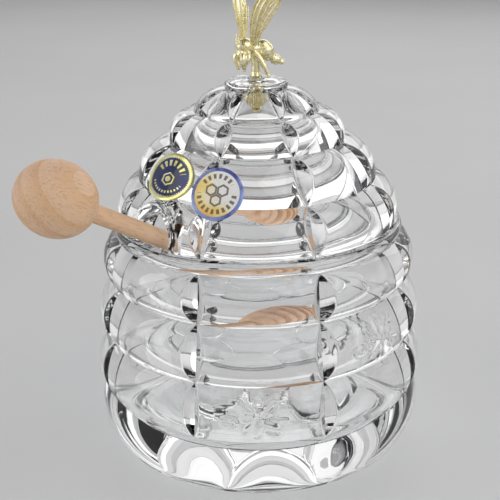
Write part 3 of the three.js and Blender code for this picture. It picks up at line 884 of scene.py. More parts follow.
def turned_fixing(name, outline, node, shade, steps=64, closed=False):
    piece = made(name, spun(outline, steps, closed), sharp=35)
    return finished(piece, shade, "lid", [node])


def plate_outline(node, clearance, radius, edge):
    """A washer round the stud, as high as its node, with eased outer edges."""
    base, top = (corner.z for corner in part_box(node))
    hole = bpy.context.scene.jar_knob.stud_radius + clearance
    return [
        Vector((hole, base)),
        Vector((radius - edge, base)),
        Vector((radius, base + edge)),
        Vector((radius, top - edge)),
        Vector((radius - edge, top)),
        Vector((hole, top)),
    ]


def make_fixings():
    """Threaded stud, cushion, washer and fluted nut."""
    knob = bpy.context.scene.jar_knob
    shade = gilt("gilt of the fixings")
    low, high = (corner.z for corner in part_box("knob_stud"))
    root = knob.stud_radius - THREAD_DEPTH
    turns = int((high - low) / THREAD_PITCH)
    thread = []
    for turn in range(turns):
        base = low + turn * (high - low) / turns
        thread += [Vector((root, base)), Vector((knob.stud_radius, base + THREAD_PITCH / 2))]
    outline = [Vector((0, low)), *thread, Vector((root, high)), Vector((0, high))]
    turned_fixing("threaded_stud", outline, "knob_stud", shade, 32)

    outline = plate_outline("lower_washer", WASHER_CLEARANCE, knob.washer_radius, 0.25 * MM)
    turned_fixing("gilt_washer", outline, "lower_washer", shade, closed=True)

    outline = plate_outline("fluted_nut", NUT_CLEARANCE, knob.nut_radius, 0.4 * MM)
    bm = spun(outline, FLUTE_STEPS * knob.nut_flutes, closed=True)
    for vert in bm.verts:
        radius = flat_radius(vert.co)
        if radius > knob.nut_radius - FLUTED_EDGE:
            azimuth = math.atan2(vert.co.x, -vert.co.y)
            flute = knob.flute_depth * (1 - abs(math.sin(knob.nut_flutes * azimuth / 2)))
            vert.co.xy *= (radius - flute) / radius
    finished(made("gilt_nut", bm, sharp=35), shade, "lid", ["fluted_nut"])

    outline = plate_outline("cushion_washer", WASHER_CLEARANCE, knob.cushion_radius, 0.2 * MM)
    turned_fixing("clear_cushion", outline, "cushion_washer", soft_plastic("soft clear plastic"),
                  closed=True)


def soft_plastic(name):
    recipe = Recipe(name)
    cloud = recipe.noise(recipe.place(), 900, detail=3)
    recipe.surface(
        Base_Color=recipe.ramp(cloud, (0.3, (0.78, 0.8, 0.79)), (0.7, (0.9, 0.91, 0.9))),
        Roughness=recipe.ramp(cloud, (0.3, 0.25), (0.8, 0.4)),
        Transmission_Weight=0.7,
        IOR=1.45,
    )
    return recipe.material


# Bee

# The bee in millimetres from the middle of its post, tail to +Y, and up from its axis.
# Round parts: along, up, half length, half width, half height, and if not zero
# the droop in degrees, the ridges and the depth of the fur
BEE_PARTS = (
    (-6.3, -1.6, 1.9, 2.2, 2.3, 35, 0, 0.03),
    (-4.6, 1.0, 3.6, 3.25, 3.0, 0, 0, 0.05),
    (-0.6, -0.4, 2.4, 2.2, 2.3),
    (4.1, -1.4, 4.5, 3.1, 3.2, 58, 3),
    (8.4, -5.2, 2.3, 2.0, 2.1, 15, 2),
    (11.0, -6.4, 1.7, 1.1, 1.1, 10),
)
BEE_AXIS_SHARE = 0.42  # of its width, from its belly to its axis
# An eye: its place out to one side, along and up, and its half sizes
EYE_PLACE, EYE_SIZE = (1.6, -7.0, -1.2), (0.8, 0.7, 1.1)
# Legs and feelers: places of their joints, out to one side, along and up, and their radii
LIMBS = (
    (((0.7, -6.9, 0.0), (0.9, -7.6, 1.8), (0.9, -7.5, 4.0), (1.0, -7.2, 5.6)),
     (0.42, 0.4, 0.36, 0.44)),
    (((1.4, -5.6, -1.4), (2.7, -6.9, -2.6), (2.9, -7.0, -4.6), (2.3, -6.2, -6.8),
      (2.4, -6.3, -8.2)), (0.95, 1.1, 1.2, 0.85, 0.5)),
    (((1.5, -4.0, -1.2), (3.3, -4.9, -2.4), (3.5, -5.4, -3.8), (2.7, -5.9, -6.2)),
     (0.95, 1.15, 1.2, 0.5)),
    (((1.3, -1.4, -1.4), (2.9, 0.0, -3.4), (3.9, 1.4, -6.6), (4.4, 2.6, -9.4),
      (4.5, 3.0, -10.7)), (1.0, 1.05, 1.0, 0.75, 0.95)),
)
# Wings of each side, 1 for the left: share of the wing's length and width, sweep in degrees,
# place out, along and up, bend at the tip, openwork, ribs
WINGS = {
    1: ((1, 0.9, -10, (2.4, -2.2, 1.4), 1.5, False, 3),
        (0.82, 0.66, 11, (2.2, -1.5, 1.2), 0.9, True, 3)),
    -1: ((0.74, 0.84, 1, (1.9, -4.5, 2.4), -0.1, False, 3),
         (0.6, 0.5, 5, (1.8, -3.8, 2.2), 0.1, True, 3)),
}
WING_GRID = (60, 100)
WING_CELLS = 9
RIB_WAVE = 0.3
VEIN_WIDTH, WING_RIM_WIDTH = 0.2, 0.07
VEIN_HEIGHT, WING_CURL = 0.55 * MM, 0.6 * MM
RIDGE_HEIGHT, RIDGE_LEVEL = 0.08, 0.8
FUR_SCALE = 9
CAST_VOXEL, CAST_SMOOTHING = 0.15 * MM, 2
POST_OUTLINE = ((0, 0), (2.1, 0), (2.3, 0.3), (2.0, 0.8), (1.75, 1.6), (1.7, 4), (2.0, 8))


def bee_frame():
    """From a bee that faces -Y with its post at the origin to its heading on the lid."""
    return Matrix.Rotation(bpy.context.scene.jar_knob.bee_heading, 4, "Z")


def bee_axis():
    knob = bpy.context.scene.jar_knob
    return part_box("bee")[0].z + knob.post_height + knob.bee_width * BEE_AXIS_SHARE


def swelling(centre, half_length, half_width, half_height, droop=0, ridges=0, fuzz=0):
    """A round part of the body, with ring-shaped ridges or a fine fur if asked for."""
    bm = bmesh.new()
    bmesh.ops.create_uvsphere(bm, u_segments=56, v_segments=48, radius=1,
                              matrix=Matrix.Rotation(math.pi / 2, 4, "X"))
    for vert in bm.verts:
        along = vert.co.y
        grow = 1.0
        if ridges:
            ridge = abs(math.sin(ridges * math.pi * (along + 1) / 2)) ** 0.5
            grow += RIDGE_HEIGHT * (ridge - RIDGE_LEVEL)
        if fuzz:
            grow += fuzz * noise.noise(vert.co * FUR_SCALE)
        vert.co = (vert.co.x * grow * half_width * MM, along * half_length * MM,
                   vert.co.z * grow * half_height * MM)
    bmesh.ops.rotate(bm, verts=bm.verts, matrix=Matrix.Rotation(-math.radians(droop), 3, "X"))
    bmesh.ops.translate(bm, verts=bm.verts, vec=centre)
    return made("swelling", bm)


def joined(name, pieces):
    """One object with the meshes of several."""
    bm = bmesh.new()
    for piece in pieces:
        bm.from_mesh(piece.data)
        bpy.data.objects.remove(piece)
    return made(name, bm)


def cast(piece):
    """Fuses overlapping parts as a casting does."""
    remesh = piece.modifiers.new("cast", "REMESH")
    remesh.mode = "VOXEL"
    remesh.voxel_size = CAST_VOXEL
    soften = piece.modifiers.new("soften", "SMOOTH")
    soften.factor = 0.5
    soften.iterations = CAST_SMOOTHING
    return applied(piece, sharp=180)


def limb(points, radii):
    """A leg or feeler through a few points, rounded between them."""
    line = eased([Vector(point) for point in points], 6)
    last = len(line) - 1
    marks = len(radii) - 1
    widths = []
    for index in range(last + 1):
        place = index / last * marks
        low = min(int(place), marks - 1)
        widths.append(radii[low] + (radii[low + 1] - radii[low]) * (place - low))
    return tube("limb", line, widths, sides=3)


def make_bee():
    """The gilt bee with its legs, feelers, eyes and post, fused as one casting."""
    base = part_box("bee")[0].z
    axis = bee_axis()

    def at(across, along, rise):
        return Vector((across * MM, along * MM, axis + rise * MM))

    parts = [swelling(at(0, along, rise), *sizes) for along, rise, *sizes in BEE_PARTS]
    for side in (-1, 1):
        across, along, rise = EYE_PLACE
        parts.append(swelling(at(side * across, along, rise), *EYE_SIZE))
        for points, radii in LIMBS:
            line = [at(side * across, along, rise) for across, along, rise in points]
            parts.append(limb(line, [radius * MM for radius in radii]))
    post = spun([Vector((radius * MM, base + rise * MM)) for radius, rise in POST_OUTLINE]
                + [Vector((POST_OUTLINE[-1][0] * MM, axis)), Vector((0, axis))], 40)
    parts.append(made("post", post))
    bee = cast(joined("gilt_bee", parts))
    bee.data.transform(bee_frame())
    return finished(bee, gilt("gilt of the bee"), "lid", ["bee"])


def wing_edges(share, bend):
    """Front and hind edge of a wing at a share of its length, as shares of its width."""
    close = min(1, (1 - share) / 0.12) ** 0.5
    middle = bend * share ** 2
    half = (0.12 + 0.38 * math.sin(math.pi * share ** 1.45 * 0.8) ** 0.9) * close
    return middle - half, middle + half


def wing_blade(length, width, bend, openwork, ribs):
    """A wing in its own plane: chord along Y, root at the origin, tip up."""
    bm = bmesh.new()
    bmesh.ops.create_grid(bm, x_segments=WING_GRID[0], y_segments=WING_GRID[1], size=0.5)
    spots = {vert: (vert.co.x + 0.5, vert.co.y + 0.5) for vert in bm.verts}

    def rib_place(u, v):
        return abs((u * ribs + RIB_WAVE * math.sin(3 * v)) % 1 - 0.5)

    gone = []
    for face in bm.faces:
        u = sum(spots[vert][0] for vert in face.verts) / 4
        v = sum(spots[vert][1] for vert in face.verts) / 4
        cell = abs((v * WING_CELLS + (int(u * ribs) % 2) * 0.5) % 1 - 0.5)
        within = min(u, 1 - u) > 0.1 and 0.1 < v < 0.93
        if openwork and within and rib_place(u, v) < 0.3 and cell < 0.34:
            gone.append(face)
    bmesh.ops.delete(bm, geom=gone, context="FACES")
    for vert in bm.verts:
        u, v = spots[vert]
        front, rear = wing_edges(v, bend)
        vein = math.exp(-((0.5 - rib_place(u, v)) / VEIN_WIDTH) ** 2)
        vein = max(vein, math.exp(-(min(u, 1 - u) / WING_RIM_WIDTH) ** 2))
        curl = WING_CURL * math.sin(math.pi * u) * math.sin(math.pi * v)
        vert.co = (VEIN_HEIGHT * vein + curl, (front + (rear - front) * u) * width, v * length)
    blade = made("blade", bm)
    thick = blade.modifiers.new("thickness", "SOLIDIFY")
    thick.thickness = bpy.context.scene.jar_knob.wing_thickness
    thick.offset = 0
    if openwork:
        round_off = blade.modifiers.new("rounding", "SUBSURF")
        round_off.levels = round_off.render_levels = 1
    return applied(blade, sharp=60)


def make_wings(side, name, node):
    """The forewing and the openwork hindwing of one side."""
    knob = bpy.context.scene.jar_knob
    axis = bee_axis()
    blades = []
    spread, twist = ((knob.left_spread, knob.left_twist) if side > 0
                     else (knob.right_spread, knob.right_twist))
    for share, broad, sweep, (out, along, up), bend, openwork, ribs in WINGS[side]:
        blade = wing_blade(knob.wing_length * share, knob.wing_width * broad, bend, openwork, ribs)
        turn = (Matrix.Rotation(side * spread, 4, "Y")
                @ Matrix.Rotation(-math.radians(sweep), 4, "X")
                @ Matrix.Rotation(-side * twist, 4, "Z"))
        seat = Vector((side * out * MM, along * MM, axis + up * MM))
        blade.data.transform(bee_frame() @ Matrix.Translation(seat) @ turn)
        blades.append(blade)
    wings = joined(name, blades)
    return finished(wings, gilt("gilt of " + name.replace("_", " ")), "lid", [node])


# Seals

SEAL_RING = 1
SEAL_GAP = 0.3 * MM
# Where on that ring each seal touches, as a share of the ring's height
BLUE_TOUCH_SHARE, WHITE_TOUCH_SHARE = 0.44, 0.42
# Across a seal from its middle to its edge, which is half as thick: share, height of the rim
SEAL_BACK_SHARES = (0, 0.33, 0.66, 0.985)
SEAL_FACE = ((0, 0), (0.3, 0), (0.6, 0), (0.82, 0), (0.85, 0.06 * MM), (0.9, 0.1 * MM),
             (0.95, 0.06 * MM), (0.98, 0), (1, 0))


def seal_disc(name, half_width, half_height, azimuth, drop, touch):
    """A foil seal bent round the lid where it touches the second ring, with a UV map."""
    low, high = lid_levels()[0][SEAL_RING:SEAL_RING + 2]
    arc = arc_over(low, high, LID_BULGE_SHARES[SEAL_RING])
    lean = arc[2] + arc[3] * touch
    place = on_arc(arc, touch)
    thick = bpy.context.scene.jar_seals.thickness
    back = [Vector((share, 0)) for share in SEAL_BACK_SHARES]
    face = [Vector((share, thick + rise)) for share, rise in reversed(SEAL_FACE)]
    face[0].y = thick / 2
    bm = spun([*back, *face], 120)
    layer = bm.loops.layers.uv.new("seal")
    for surface in bm.faces:
        for corner in surface.loops:
            corner[layer].uv = (corner.vert.co.x, corner.vert.co.y)
    for vert in bm.verts:
        x, y, out = vert.co.x * half_width, vert.co.y * half_height, vert.co.z
        bend = place.x - math.sqrt(place.x ** 2 - x * x)
        vert.co = (x, bend - SEAL_GAP - out, y - drop)
    bmesh.ops.recalc_face_normals(bm, faces=bm.faces)
    turn = (Matrix.Rotation(azimuth, 4, "Z") @ Matrix.Translation((0, -place.x, place.y))
            @ Matrix.Rotation(-lean, 4, "X"))
    bmesh.ops.transform(bm, matrix=turn, verts=bm.verts)
    return made(name, bm, sharp=50)


def polar(recipe):
    """Radius and angle on a seal, from its UV map."""
    coordinates = recipe.node("ShaderNodeUVMap", uv_map="seal")
    parts = recipe.node("ShaderNodeSeparateXYZ")
    recipe.feed(parts.inputs[0], coordinates.outputs[0])
    x, y = parts.outputs[0], parts.outputs[1]
    squares = recipe.plus(recipe.times(x, x), recipe.times(y, y))
    return x, y, recipe.math("SQRT", squares), recipe.math("ARCTAN2", x, y)


def below(recipe, value, limit, soft=0.02):
    """One where a value is under a limit, with a soft edge."""
    over = recipe.minus(limit, value)
    return recipe.plus(recipe.math("DIVIDE", over, soft), 0.5, clamp=True)


def near(recipe, value, centre, half, soft=0.02):
    """One where a value is within half of a centre, with a soft edge."""
    return below(recipe, recipe.unsigned(recipe.minus(value, centre)), half, soft)


def hexagon(recipe, x, y, size):
    """Distance from a hexagon's middle, one at its edge."""
    sides = []
    for turn in (0, 60, 120):
        angle = math.radians(turn)
        across = recipe.plus(recipe.times(x, math.cos(angle) / size),
                             recipe.times(y, math.sin(angle) / size))
        sides.append(recipe.unsigned(across))
    return recipe.most(recipe.most(sides[0], sides[1]), sides[2])


def dashes(recipe, angle, count):
    """A row of marks round a seal, one on a mark and zero between."""
    wave = recipe.math("SINE", recipe.times(angle, count))
    return recipe.plus(recipe.times(wave, 3), 0.6, clamp=True)


def blue_foil():
    """Dark blue foil with a saw-edged gold rim, two rows of marks and a hexagon."""
    recipe = Recipe("blue foil")
    x, y, radius, angle = polar(recipe)
    saw = recipe.math("PINGPONG", recipe.times(angle, 9), 0.5)
    field = below(recipe, radius, recipe.plus(0.78, recipe.times(saw, 0.13)))
    upper = near(recipe, recipe.unsigned(angle), 0, 1.15, 0.05)
    lower = recipe.math("GREATER_THAN", recipe.unsigned(angle), 1.95)
    marks = recipe.times(dashes(recipe, angle, 17),
                         recipe.times(near(recipe, radius, 0.58, 0.12), upper))
    beads = recipe.times(dashes(recipe, angle, 30),
                         recipe.times(near(recipe, radius, 0.64, 0.05), lower))
    cell = hexagon(recipe, x, recipe.plus(y, 0.1), 0.22)
    crest = recipe.most(near(recipe, cell, 1.0, 0.14, 0.1), below(recipe, cell, 0.5, 0.1))
    gold = recipe.most(recipe.most(marks, beads), crest, clamp=True)
    gold = recipe.most(gold, recipe.minus(1, field), clamp=True)
    # Noise that lightens the blue field and the gold in patches: a painted sheen.
    painted_sheen = recipe.noise(recipe.place(), 120)
    blue = recipe.ramp(painted_sheen, (0.35, (0.006, 0.009, 0.035)), (0.65, (0.014, 0.026, 0.14)))
    leaf = recipe.ramp(painted_sheen, (0.3, (0.5, 0.48, 0.14)), (0.7, (0.84, 0.8, 0.42)))
    grain = recipe.noise(recipe.place(), 3000)
    recipe.surface(
        Base_Color=recipe.mix(gold, blue, leaf),
        Metallic=recipe.plus(0.45, recipe.times(gold, 0.5)),
        Roughness=recipe.ramp(grain, (0.3, 0.2), (0.8, 0.36)),
        Coat_Weight=0.4,
        Normal=recipe.bump(recipe.plus(gold, recipe.times(grain, 0.15)), 0.06 * MM, 0.8),
    )
    return recipe.material


def white_foil():
    """Pearly foil with a blue rim, two rows of marks, three hexagons and a painted reflection: a
    warm orange glow towards its lower left.
    """
    recipe = Recipe("white foil")
    x, y, radius, angle = polar(recipe)
    field = below(recipe, radius, 0.86)
    side = recipe.unsigned(angle)
    upper = near(recipe, side, 0, 0.95, 0.05)
    lower = recipe.math("GREATER_THAN", side, 1.55)
    band = near(recipe, radius, 0.67, 0.09)
    marks = recipe.times(recipe.times(dashes(recipe, angle, 20), band),
                         recipe.most(upper, lower))
    cells = 0.0
    for left, up in ((-0.22, 0.14), (0.22, 0.14), (0, -0.24)):
        spot = hexagon(recipe, recipe.minus(x, left), recipe.minus(y, up), 0.18)
        cells = recipe.most(cells, near(recipe, spot, 1.0, 0.2, 0.1))
    ink = recipe.most(marks, cells, clamp=True)
    # A painted reflection: the pearly white turns warm orange towards the lower left, by a lean
    # plus noise.
    lean = recipe.plus(recipe.times(x, -0.36), recipe.times(y, -0.22))
    painted_glow = recipe.plus(lean, recipe.noise(recipe.place(), 110))
    pearl_with_painted_glow = recipe.ramp(painted_glow, (0.35, (0.97, 0.97, 0.94)), (0.56, (0.98, 0.93, 0.7)),
                        (0.72, (0.97, 0.76, 0.28)), (0.95, (0.94, 0.52, 0.1)))
    foil = recipe.mix(recipe.times(ink, 0.85), pearl_with_painted_glow, (0.13, 0.07, 0.05, 1))
    sweep = recipe.noise(recipe.place(), 160)
    rim = recipe.ramp(sweep, (0.35, (0.05, 0.06, 0.3)), (0.65, (0.3, 0.38, 0.75)))
    grain = recipe.noise(recipe.place(), 3000)
    recipe.surface(
        Base_Color=recipe.mix(field, rim, foil),
        Metallic=0.1,
        Roughness=recipe.ramp(grain, (0.3, 0.22), (0.8, 0.38)),
        Coat_Weight=0.4,
        Normal=recipe.bump(recipe.minus(grain, ink), 0.05 * MM, 0.5),
    )
    return recipe.material


def make_seals():
    """The blue seal on the panel over the notch and the white one beside it."""
    seals = bpy.context.scene.jar_seals
    blue = seal_disc("blue_foil_seal", seals.blue_half_width, seals.blue_half_height,
                     seals.blue_azimuth, seals.blue_drop, BLUE_TOUCH_SHARE)
    finished(blue, blue_foil(), "lid", ["blue_seal"])
    white = seal_disc("white_foil_seal", seals.white_radius, seals.white_radius,
                      seals.white_azimuth, seals.white_drop, WHITE_TOUCH_SHARE)
    finished(white, white_foil(), "lid", ["white_seal"])


# Stage

# Soft boxes round the jar: name, place, width, height, power in watts
SOFT_BOXES = (
    ("key soft box", (0.75, -0.55, 0.95), 1.35, 1.35, 7.5),
    ("left soft box", (-1.0, -0.2, 0.5), 0.5, 1.3, 3.5),
    ("back soft box", (0.3, 1.0, 0.8), 1.8, 1.0, 4.5),
)
SOFT_BOX_TARGET = (0, 0, 0.08)
BACKDROP_LOW, BACKDROP_HIGH = 0.05, 0.75  # upward share of a ray where the backdrop changes
FLOOR_GAP = 0.15 * MM
FLOOR_SIDES = 96
SENSOR_WIDTH = 36  # in millimetres, as the lens is
NEAREST_SEEN = 0.01


def pale_floor(colour):
    recipe = Recipe("pale floor")
    cloud = recipe.noise(recipe.place(), 6, detail=3)
    tint = [channel * 0.97 for channel in colour]
    recipe.surface(
        Base_Color=recipe.ramp(cloud, (0.3, tint), (0.7, tuple(colour))),
        Roughness=0.55,
    )
    return recipe.material


def area_lamp(name, place, width, height, power):
    light = bpy.data.lights.new(name, "AREA")
    light.shape = "RECTANGLE"
    light.size = width
    light.size_y = height
    light.energy = power
    lamp = placed(name, light)
    way = Vector(SOFT_BOX_TARGET) - Vector(place)
    turn = way.to_track_quat("-Z", "Y").to_matrix().to_4x4()
    lamp.matrix_world = Matrix.Translation(place) @ turn


def studio_air(stage):
    """A pale backdrop all round that darkens overhead, where the soft boxes stand out."""
    world = bpy.data.worlds.new("studio")
    bpy.context.scene.world = world
    world.use_nodes = True
    tree = world.node_tree
    tree.nodes.clear()
    output = tree.nodes.new("ShaderNodeOutputWorld")
    background = tree.nodes.new("ShaderNodeBackground")
    where = tree.nodes.new("ShaderNodeTexCoord")
    parts = tree.nodes.new("ShaderNodeSeparateXYZ")
    ramp = tree.nodes.new("ShaderNodeValToRGB")
    ramp.color_ramp.interpolation = "EASE"
    low, high = ramp.color_ramp.elements
    low.position, high.position = BACKDROP_LOW, BACKDROP_HIGH
    low.color = (*stage.horizon, 1)
    high.color = (*stage.overhead, 1)
    tree.links.new(where.outputs["Generated"], parts.inputs[0])
    tree.links.new(parts.outputs[2], ramp.inputs["Fac"])
    tree.links.new(ramp.outputs["Color"], background.inputs["Color"])
    tree.links.new(background.outputs[0], output.inputs["Surface"])


def aim_camera(stage):
    """The photograph's view: a long lens from the front, a little above the knob."""
    camera = bpy.data.cameras.new("camera")
    camera.sensor_fit = "HORIZONTAL"
    camera.sensor_width = SENSOR_WIDTH
    camera.lens = stage.lens
    camera.clip_start = NEAREST_SEEN
    view = placed("camera", camera)
    yaw, pitch, roll = stage.camera_yaw, stage.camera_pitch, stage.camera_roll
    forward = Vector((math.sin(yaw) * math.cos(pitch), math.cos(yaw) * math.cos(pitch),
                      -math.sin(pitch)))
    right = Vector((math.cos(yaw), -math.sin(yaw), 0))
    up = right.cross(forward)
    leaned_right = right * math.cos(roll) + up * math.sin(roll)
    leaned_up = up * math.cos(roll) - right * math.sin(roll)
    turn = Matrix((leaned_right, leaned_up, -forward)).transposed().to_4x4()
    view.matrix_world = Matrix.Translation(stage.camera_place) @ turn
    bpy.context.scene.camera = view


def make_stage():
    """Pale floor, soft boxes, backdrop light and the camera."""
    stage = bpy.context.scene.jar_stage
    bm = bmesh.new()
    bmesh.ops.create_circle(bm, cap_ends=True, radius=stage.floor_radius,
                            segments=FLOOR_SIDES,
                            matrix=Matrix.Translation((0, 0, -FLOOR_GAP)))
    floor = made("floor", bm)
    floor.data.materials.append(pale_floor(stage.floor_colour))
    for box in SOFT_BOXES:
        area_lamp(*box)
    studio_air(stage)
    aim_camera(stage)
    bpy.context.scene.view_settings.view_transform = "Standard"


# Add-on

def length(name, default, description):
    return FloatProperty(name=name, default=default, description=description, min=0,
                         unit="LENGTH", precision=5)


def turn_angle(name, degrees, description):
    return FloatProperty(name=name, default=math.radians(degrees), description=description,
                         unit="ROTATION")


class GlassSizes(bpy.types.PropertyGroup):
    pot_radius: length("Pot radius", 63.5 * MM, "Radius at the lowest groove")
    pot_wall: length("Pot wall", 6 * MM, "Wall at the grooves")
    pot_floor: length("Pot floor", 14 * MM, "Height of the floor's edge inside")
    rim_radius: length("Rim radius", 56.77 * MM, "Outside of the rim")
    rim_width: length("Rim width", 5.8 * MM, "From the outside of the rim to the mouth")
    rim_band: length("Rim band", 5 * MM, "Height of the plain band at the mouth")
    lid_radius: length("Lid radius", 54.1 * MM, "Radius at the lid's lower edge")
    lid_wall: length("Lid wall", 5.4 * MM, "Wall at the grooves")
    crown_radius: length("Crown radius", 12.3 * MM, "Round button on top")
    crown_height: length("Crown height", 2.8 * MM, "Height of the button")
    crown_thickness: length("Crown thickness", 4.5 * MM, "Glass under the knob")
    crown_seat: length("Crown seat", 5.8 * MM, "Radius of the flat under the crown")
    stud_hole: length("Stud hole", 2.5 * MM, "Radius of the hole for the stud")
    collar_depth: length("Collar depth", 3 * MM, "How far the collar drops into the mouth")
    collar_width: length("Collar width", 2.6 * MM, "Wall of the collar")
    collar_clearance: length("Collar clearance", 0.5 * MM, "From the collar to the mouth")
    cut_half_angle: turn_angle("Cut half angle", 41, "Half the angle of the cutting wheel")
    cut_bite: length("Cut bite", 0.3 * MM, "How far a cut runs below the grooves")
    cut_softness: length("Cut softness", 0.35 * MM, "Rounding along the edge of a cut")
    scoop_inner: length("Scoop start", 20 * MM, "Inner end of the scoops under the foot")
    scoop_outer: length("Scoop end", 60 * MM, "Outer end of the scoops under the foot")
    scoop_width: length("Scoop width", 40 * MM, "Width of a scoop under the foot")
    scoop_depth: length("Scoop depth", 4 * MM, "Depth of a scoop under the foot")
    scoop_azimuth: turn_angle("Scoop azimuth", 6.75, "Where the first scoop is")
    pressed_length: length("Pressed bee", 18 * MM, "Length of a bee pressed into the pot")
    pressed_height: length("Pressed relief", 0.75 * MM, "How far such a bee stands out")
    notch_azimuth: turn_angle("Notch azimuth", -45, "Where the notch is, from the front")
    notch_width: length("Notch width", 19 * MM, "Width of the notch")
    notch_height: length("Notch height", 13 * MM, "Height of the notch")
    lip_radius: length("Lip radius", 1.9 * MM, "Radius of the bead round the notch")


class WoodSizes(bpy.types.PropertyGroup):
    ball_radius: length("Ball radius", 13.15 * MM, "Half the width of the dipper's ball")
    ball_stretch: FloatProperty(name="Ball stretch", default=1.138, min=1,
                                description="Length of the ball over its width")
    shaft_radius: length("Shaft radius", 3.35 * MM, "Radius of the dipper's shaft")
    head_radius: length("Head radius", 12.2 * MM, "Radius of the head at its middle")
    head_length: length("Head length", 36 * MM, "Length of the head")
    head_end_share: FloatProperty(name="Head ends", default=0.5, min=0.1, max=1,
                                  description="Radius of the head's ends, of its own radius")
    head_grooves: IntProperty(name="Head grooves", default=6, min=1,
                              description="Grooves that hold the honey")
    groove_depth: length("Groove depth", 4.2 * MM, "Depth of the middle groove")
    tenon_radius: length("Tenon radius", 2.3 * MM, "Radius of the shaft's tenons")
    tenon_length: length("Tenon length", 10 * MM, "Length of a tenon")
    tenon_gap: length("Tenon gap", 0.3 * MM, "Clearance round a tenon")
    neck_gap: length("Neck gap", 0.3 * MM, "Between shaft and ball or head")


class KnobSizes(bpy.types.PropertyGroup):
    stud_radius: length("Stud radius", 2 * MM, "Radius of the threaded stud")
    washer_radius: length("Washer radius", 5.35 * MM, "Radius of the gilt washer")
    nut_radius: length("Nut radius", 4.28 * MM, "Radius of the nut over its flutes")
    nut_flutes: IntProperty(name="Nut flutes", default=16, description="Flutes round the nut")
    flute_depth: length("Flute depth", 0.55 * MM, "Depth of a flute of the nut")
    cushion_radius: length("Cushion radius", 3.4 * MM, "Radius of the clear cushion")
    post_height: length("Post height", 8 * MM, "From the cushion to the bee's belly")
    bee_width: length("Bee width", 6.6 * MM, "Width of the bee's body")
    bee_heading: turn_angle("Bee heading", -62, "Where the face points, from the front")
    wing_length: length("Wing length", 24 * MM, "Length of a forewing")
    wing_width: length("Wing width", 6.6 * MM, "Width of a forewing")
    wing_thickness: length("Wing thickness", 0.5 * MM, "Thickness of a wing")
    left_spread: turn_angle("Left spread", 14, "Lean of the left wings from upright")
    left_twist: turn_angle("Left twist", 35, "Turn of the left wings' hind edges outwards")
    right_spread: turn_angle("Right spread", 11, "Lean of the right wings from upright")
    right_twist: turn_angle("Right twist", 5, "Turn of the right wings' hind edges outwards")


class SealSizes(bpy.types.PropertyGroup):
    thickness: length("Thickness", 0.25 * MM, "Thickness of a seal")
    blue_half_width: length("Blue half width", 11.6 * MM, "Half the width of the blue seal")
    blue_half_height: length("Blue half height", 9.1 * MM, "Half the height of the blue seal")
    blue_azimuth: turn_angle("Blue azimuth", -45.5, "Where the blue seal is")
    blue_drop: length("Blue drop", 1.1 * MM, "From where it touches to its middle")
    white_radius: length("White radius", 9.7 * MM, "Radius of the white seal")
    white_azimuth: turn_angle("White azimuth", -18, "Where the white seal is")
    white_drop: length("White drop", 3.9 * MM, "From where it touches to its middle")


class StageLook(bpy.types.PropertyGroup):
    floor_radius: length("Floor radius", 4, "Radius of the floor")
    floor_colour: FloatVectorProperty(name="Floor", default=(0.72, 0.72, 0.72), subtype="COLOR",
                                      description="Colour of the floor")
    horizon: FloatVectorProperty(name="Horizon", default=(0.8, 0.8, 0.8), subtype="COLOR",
                                 description="Backdrop at the horizon")
    overhead: FloatVectorProperty(name="Overhead", default=(0.17, 0.17, 0.18), subtype="COLOR",
                                  description="Backdrop overhead")
    camera_place: FloatVectorProperty(name="Camera", default=(0, -0.3905, 0.2229),
                                      subtype="TRANSLATION", description="Place of the camera")
    camera_pitch: turn_angle("Pitch", 20.67, "How far the camera looks down")
    camera_yaw: turn_angle("Yaw", -0.47, "How far the camera looks to the right")
    camera_roll: turn_angle("Roll", -0.79, "How far the camera leans")
    lens: FloatProperty(name="Lens", default=74.4, min=1, description="Focal length in mm")


class HONEY_OT_pot(bpy.types.Operator):
    """Build the crystal pot"""
    bl_idname = "honey_jar.pot"
    bl_label = "Pot"

    def execute(self, context):
        make_pot()
        return {"FINISHED"}


class HONEY_OT_lid(bpy.types.Operator):
    """Build the crystal lid"""
    bl_idname = "honey_jar.lid"
    bl_label = "Lid"

    def execute(self, context):
        make_lid()
        return {"FINISHED"}


class HONEY_OT_fixings(bpy.types.Operator):
    """Build the stud, cushion, washer and nut that hold the knob"""
    bl_idname = "honey_jar.fixings"
    bl_label = "Knob fixings"

    def execute(self, context):
        make_fixings()
        return {"FINISHED"}


class HONEY_OT_bee(bpy.types.Operator):
    """Build the gilt bee on its post"""
    bl_idname = "honey_jar.bee"
    bl_label = "Bee"

    def execute(self, context):
        make_bee()
        return {"FINISHED"}


class HONEY_OT_wings(bpy.types.Operator):
    """Build both pairs of wings"""
    bl_idname = "honey_jar.wings"
    bl_label = "Wings"

    def execute(self, context):
        make_wings(1, "gilt_left_wings", "left_wings")
        make_wings(-1, "gilt_right_wings", "right_wings")
        return {"FINISHED"}


class HONEY_OT_dipper(bpy.types.Operator):
    """Build the ball, shaft and head of the dipper"""
    bl_idname = "honey_jar.dipper"
    bl_label = "Dipper"

    def execute(self, context):
        make_dipper()
        return {"FINISHED"}


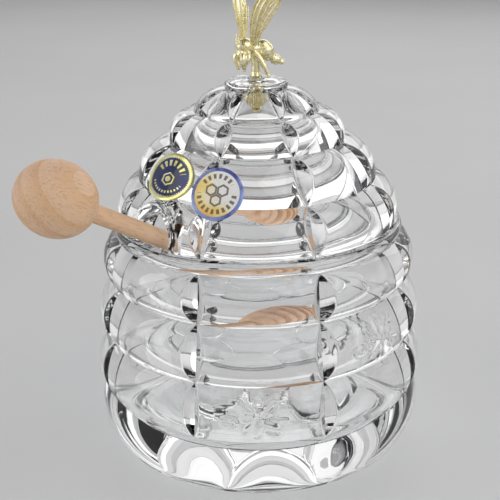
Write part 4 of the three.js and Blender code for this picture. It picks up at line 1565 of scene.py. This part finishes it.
class HONEY_OT_seals(bpy.types.Operator):
    """Build the two foil seals"""
    bl_idname = "honey_jar.seals"
    bl_label = "Seals"

    def execute(self, context):
        make_seals()
        return {"FINISHED"}


class HONEY_OT_stage(bpy.types.Operator):
    """Set the floor, the lights and the camera"""
    bl_idname = "honey_jar.stage"
    bl_label = "Stage"

    def execute(self, context):
        make_stage()
        return {"FINISHED"}


OPERATORS = (HONEY_OT_stage, HONEY_OT_pot, HONEY_OT_lid, HONEY_OT_fixings, HONEY_OT_bee,
             HONEY_OT_wings, HONEY_OT_dipper, HONEY_OT_seals)
GROUPS = {
    "jar_glass": GlassSizes,
    "jar_wood": WoodSizes,
    "jar_knob": KnobSizes,
    "jar_seals": SealSizes,
    "jar_stage": StageLook,
}


class HONEY_PT_sidebar(bpy.types.Panel):
    """Sizes of the jar and the buttons that build it"""
    bl_idname = "HONEY_PT_sidebar"
    bl_label = "Honey jar"
    bl_space_type = "VIEW_3D"
    bl_region_type = "UI"
    bl_category = "Honey jar"

    def draw(self, context):
        for operator in OPERATORS:
            self.layout.operator(operator.bl_idname)
        for name, group in GROUPS.items():
            box = self.layout.box()
            box.label(text=name)
            for field in group.__annotations__:
                box.prop(getattr(context.scene, name), field)


def register():
    for name, group in GROUPS.items():
        bpy.utils.register_class(group)
        setattr(bpy.types.Scene, name, PointerProperty(type=group))
    for operator in OPERATORS:
        bpy.utils.register_class(operator)
    bpy.utils.register_class(HONEY_PT_sidebar)


def unregister():
    bpy.utils.unregister_class(HONEY_PT_sidebar)
    for operator in reversed(OPERATORS):
        bpy.utils.unregister_class(operator)
    for name, group in GROUPS.items():
        delattr(bpy.types.Scene, name)
        bpy.utils.unregister_class(group)


def main():
    register()
    bpy.ops.honey_jar.stage()
    bpy.ops.honey_jar.pot()
    bpy.ops.honey_jar.lid()
    bpy.ops.honey_jar.fixings()
    bpy.ops.honey_jar.bee()
    bpy.ops.honey_jar.wings()
    bpy.ops.honey_jar.dipper()
    bpy.ops.honey_jar.seals()


if __name__ == "__main__":
    main()
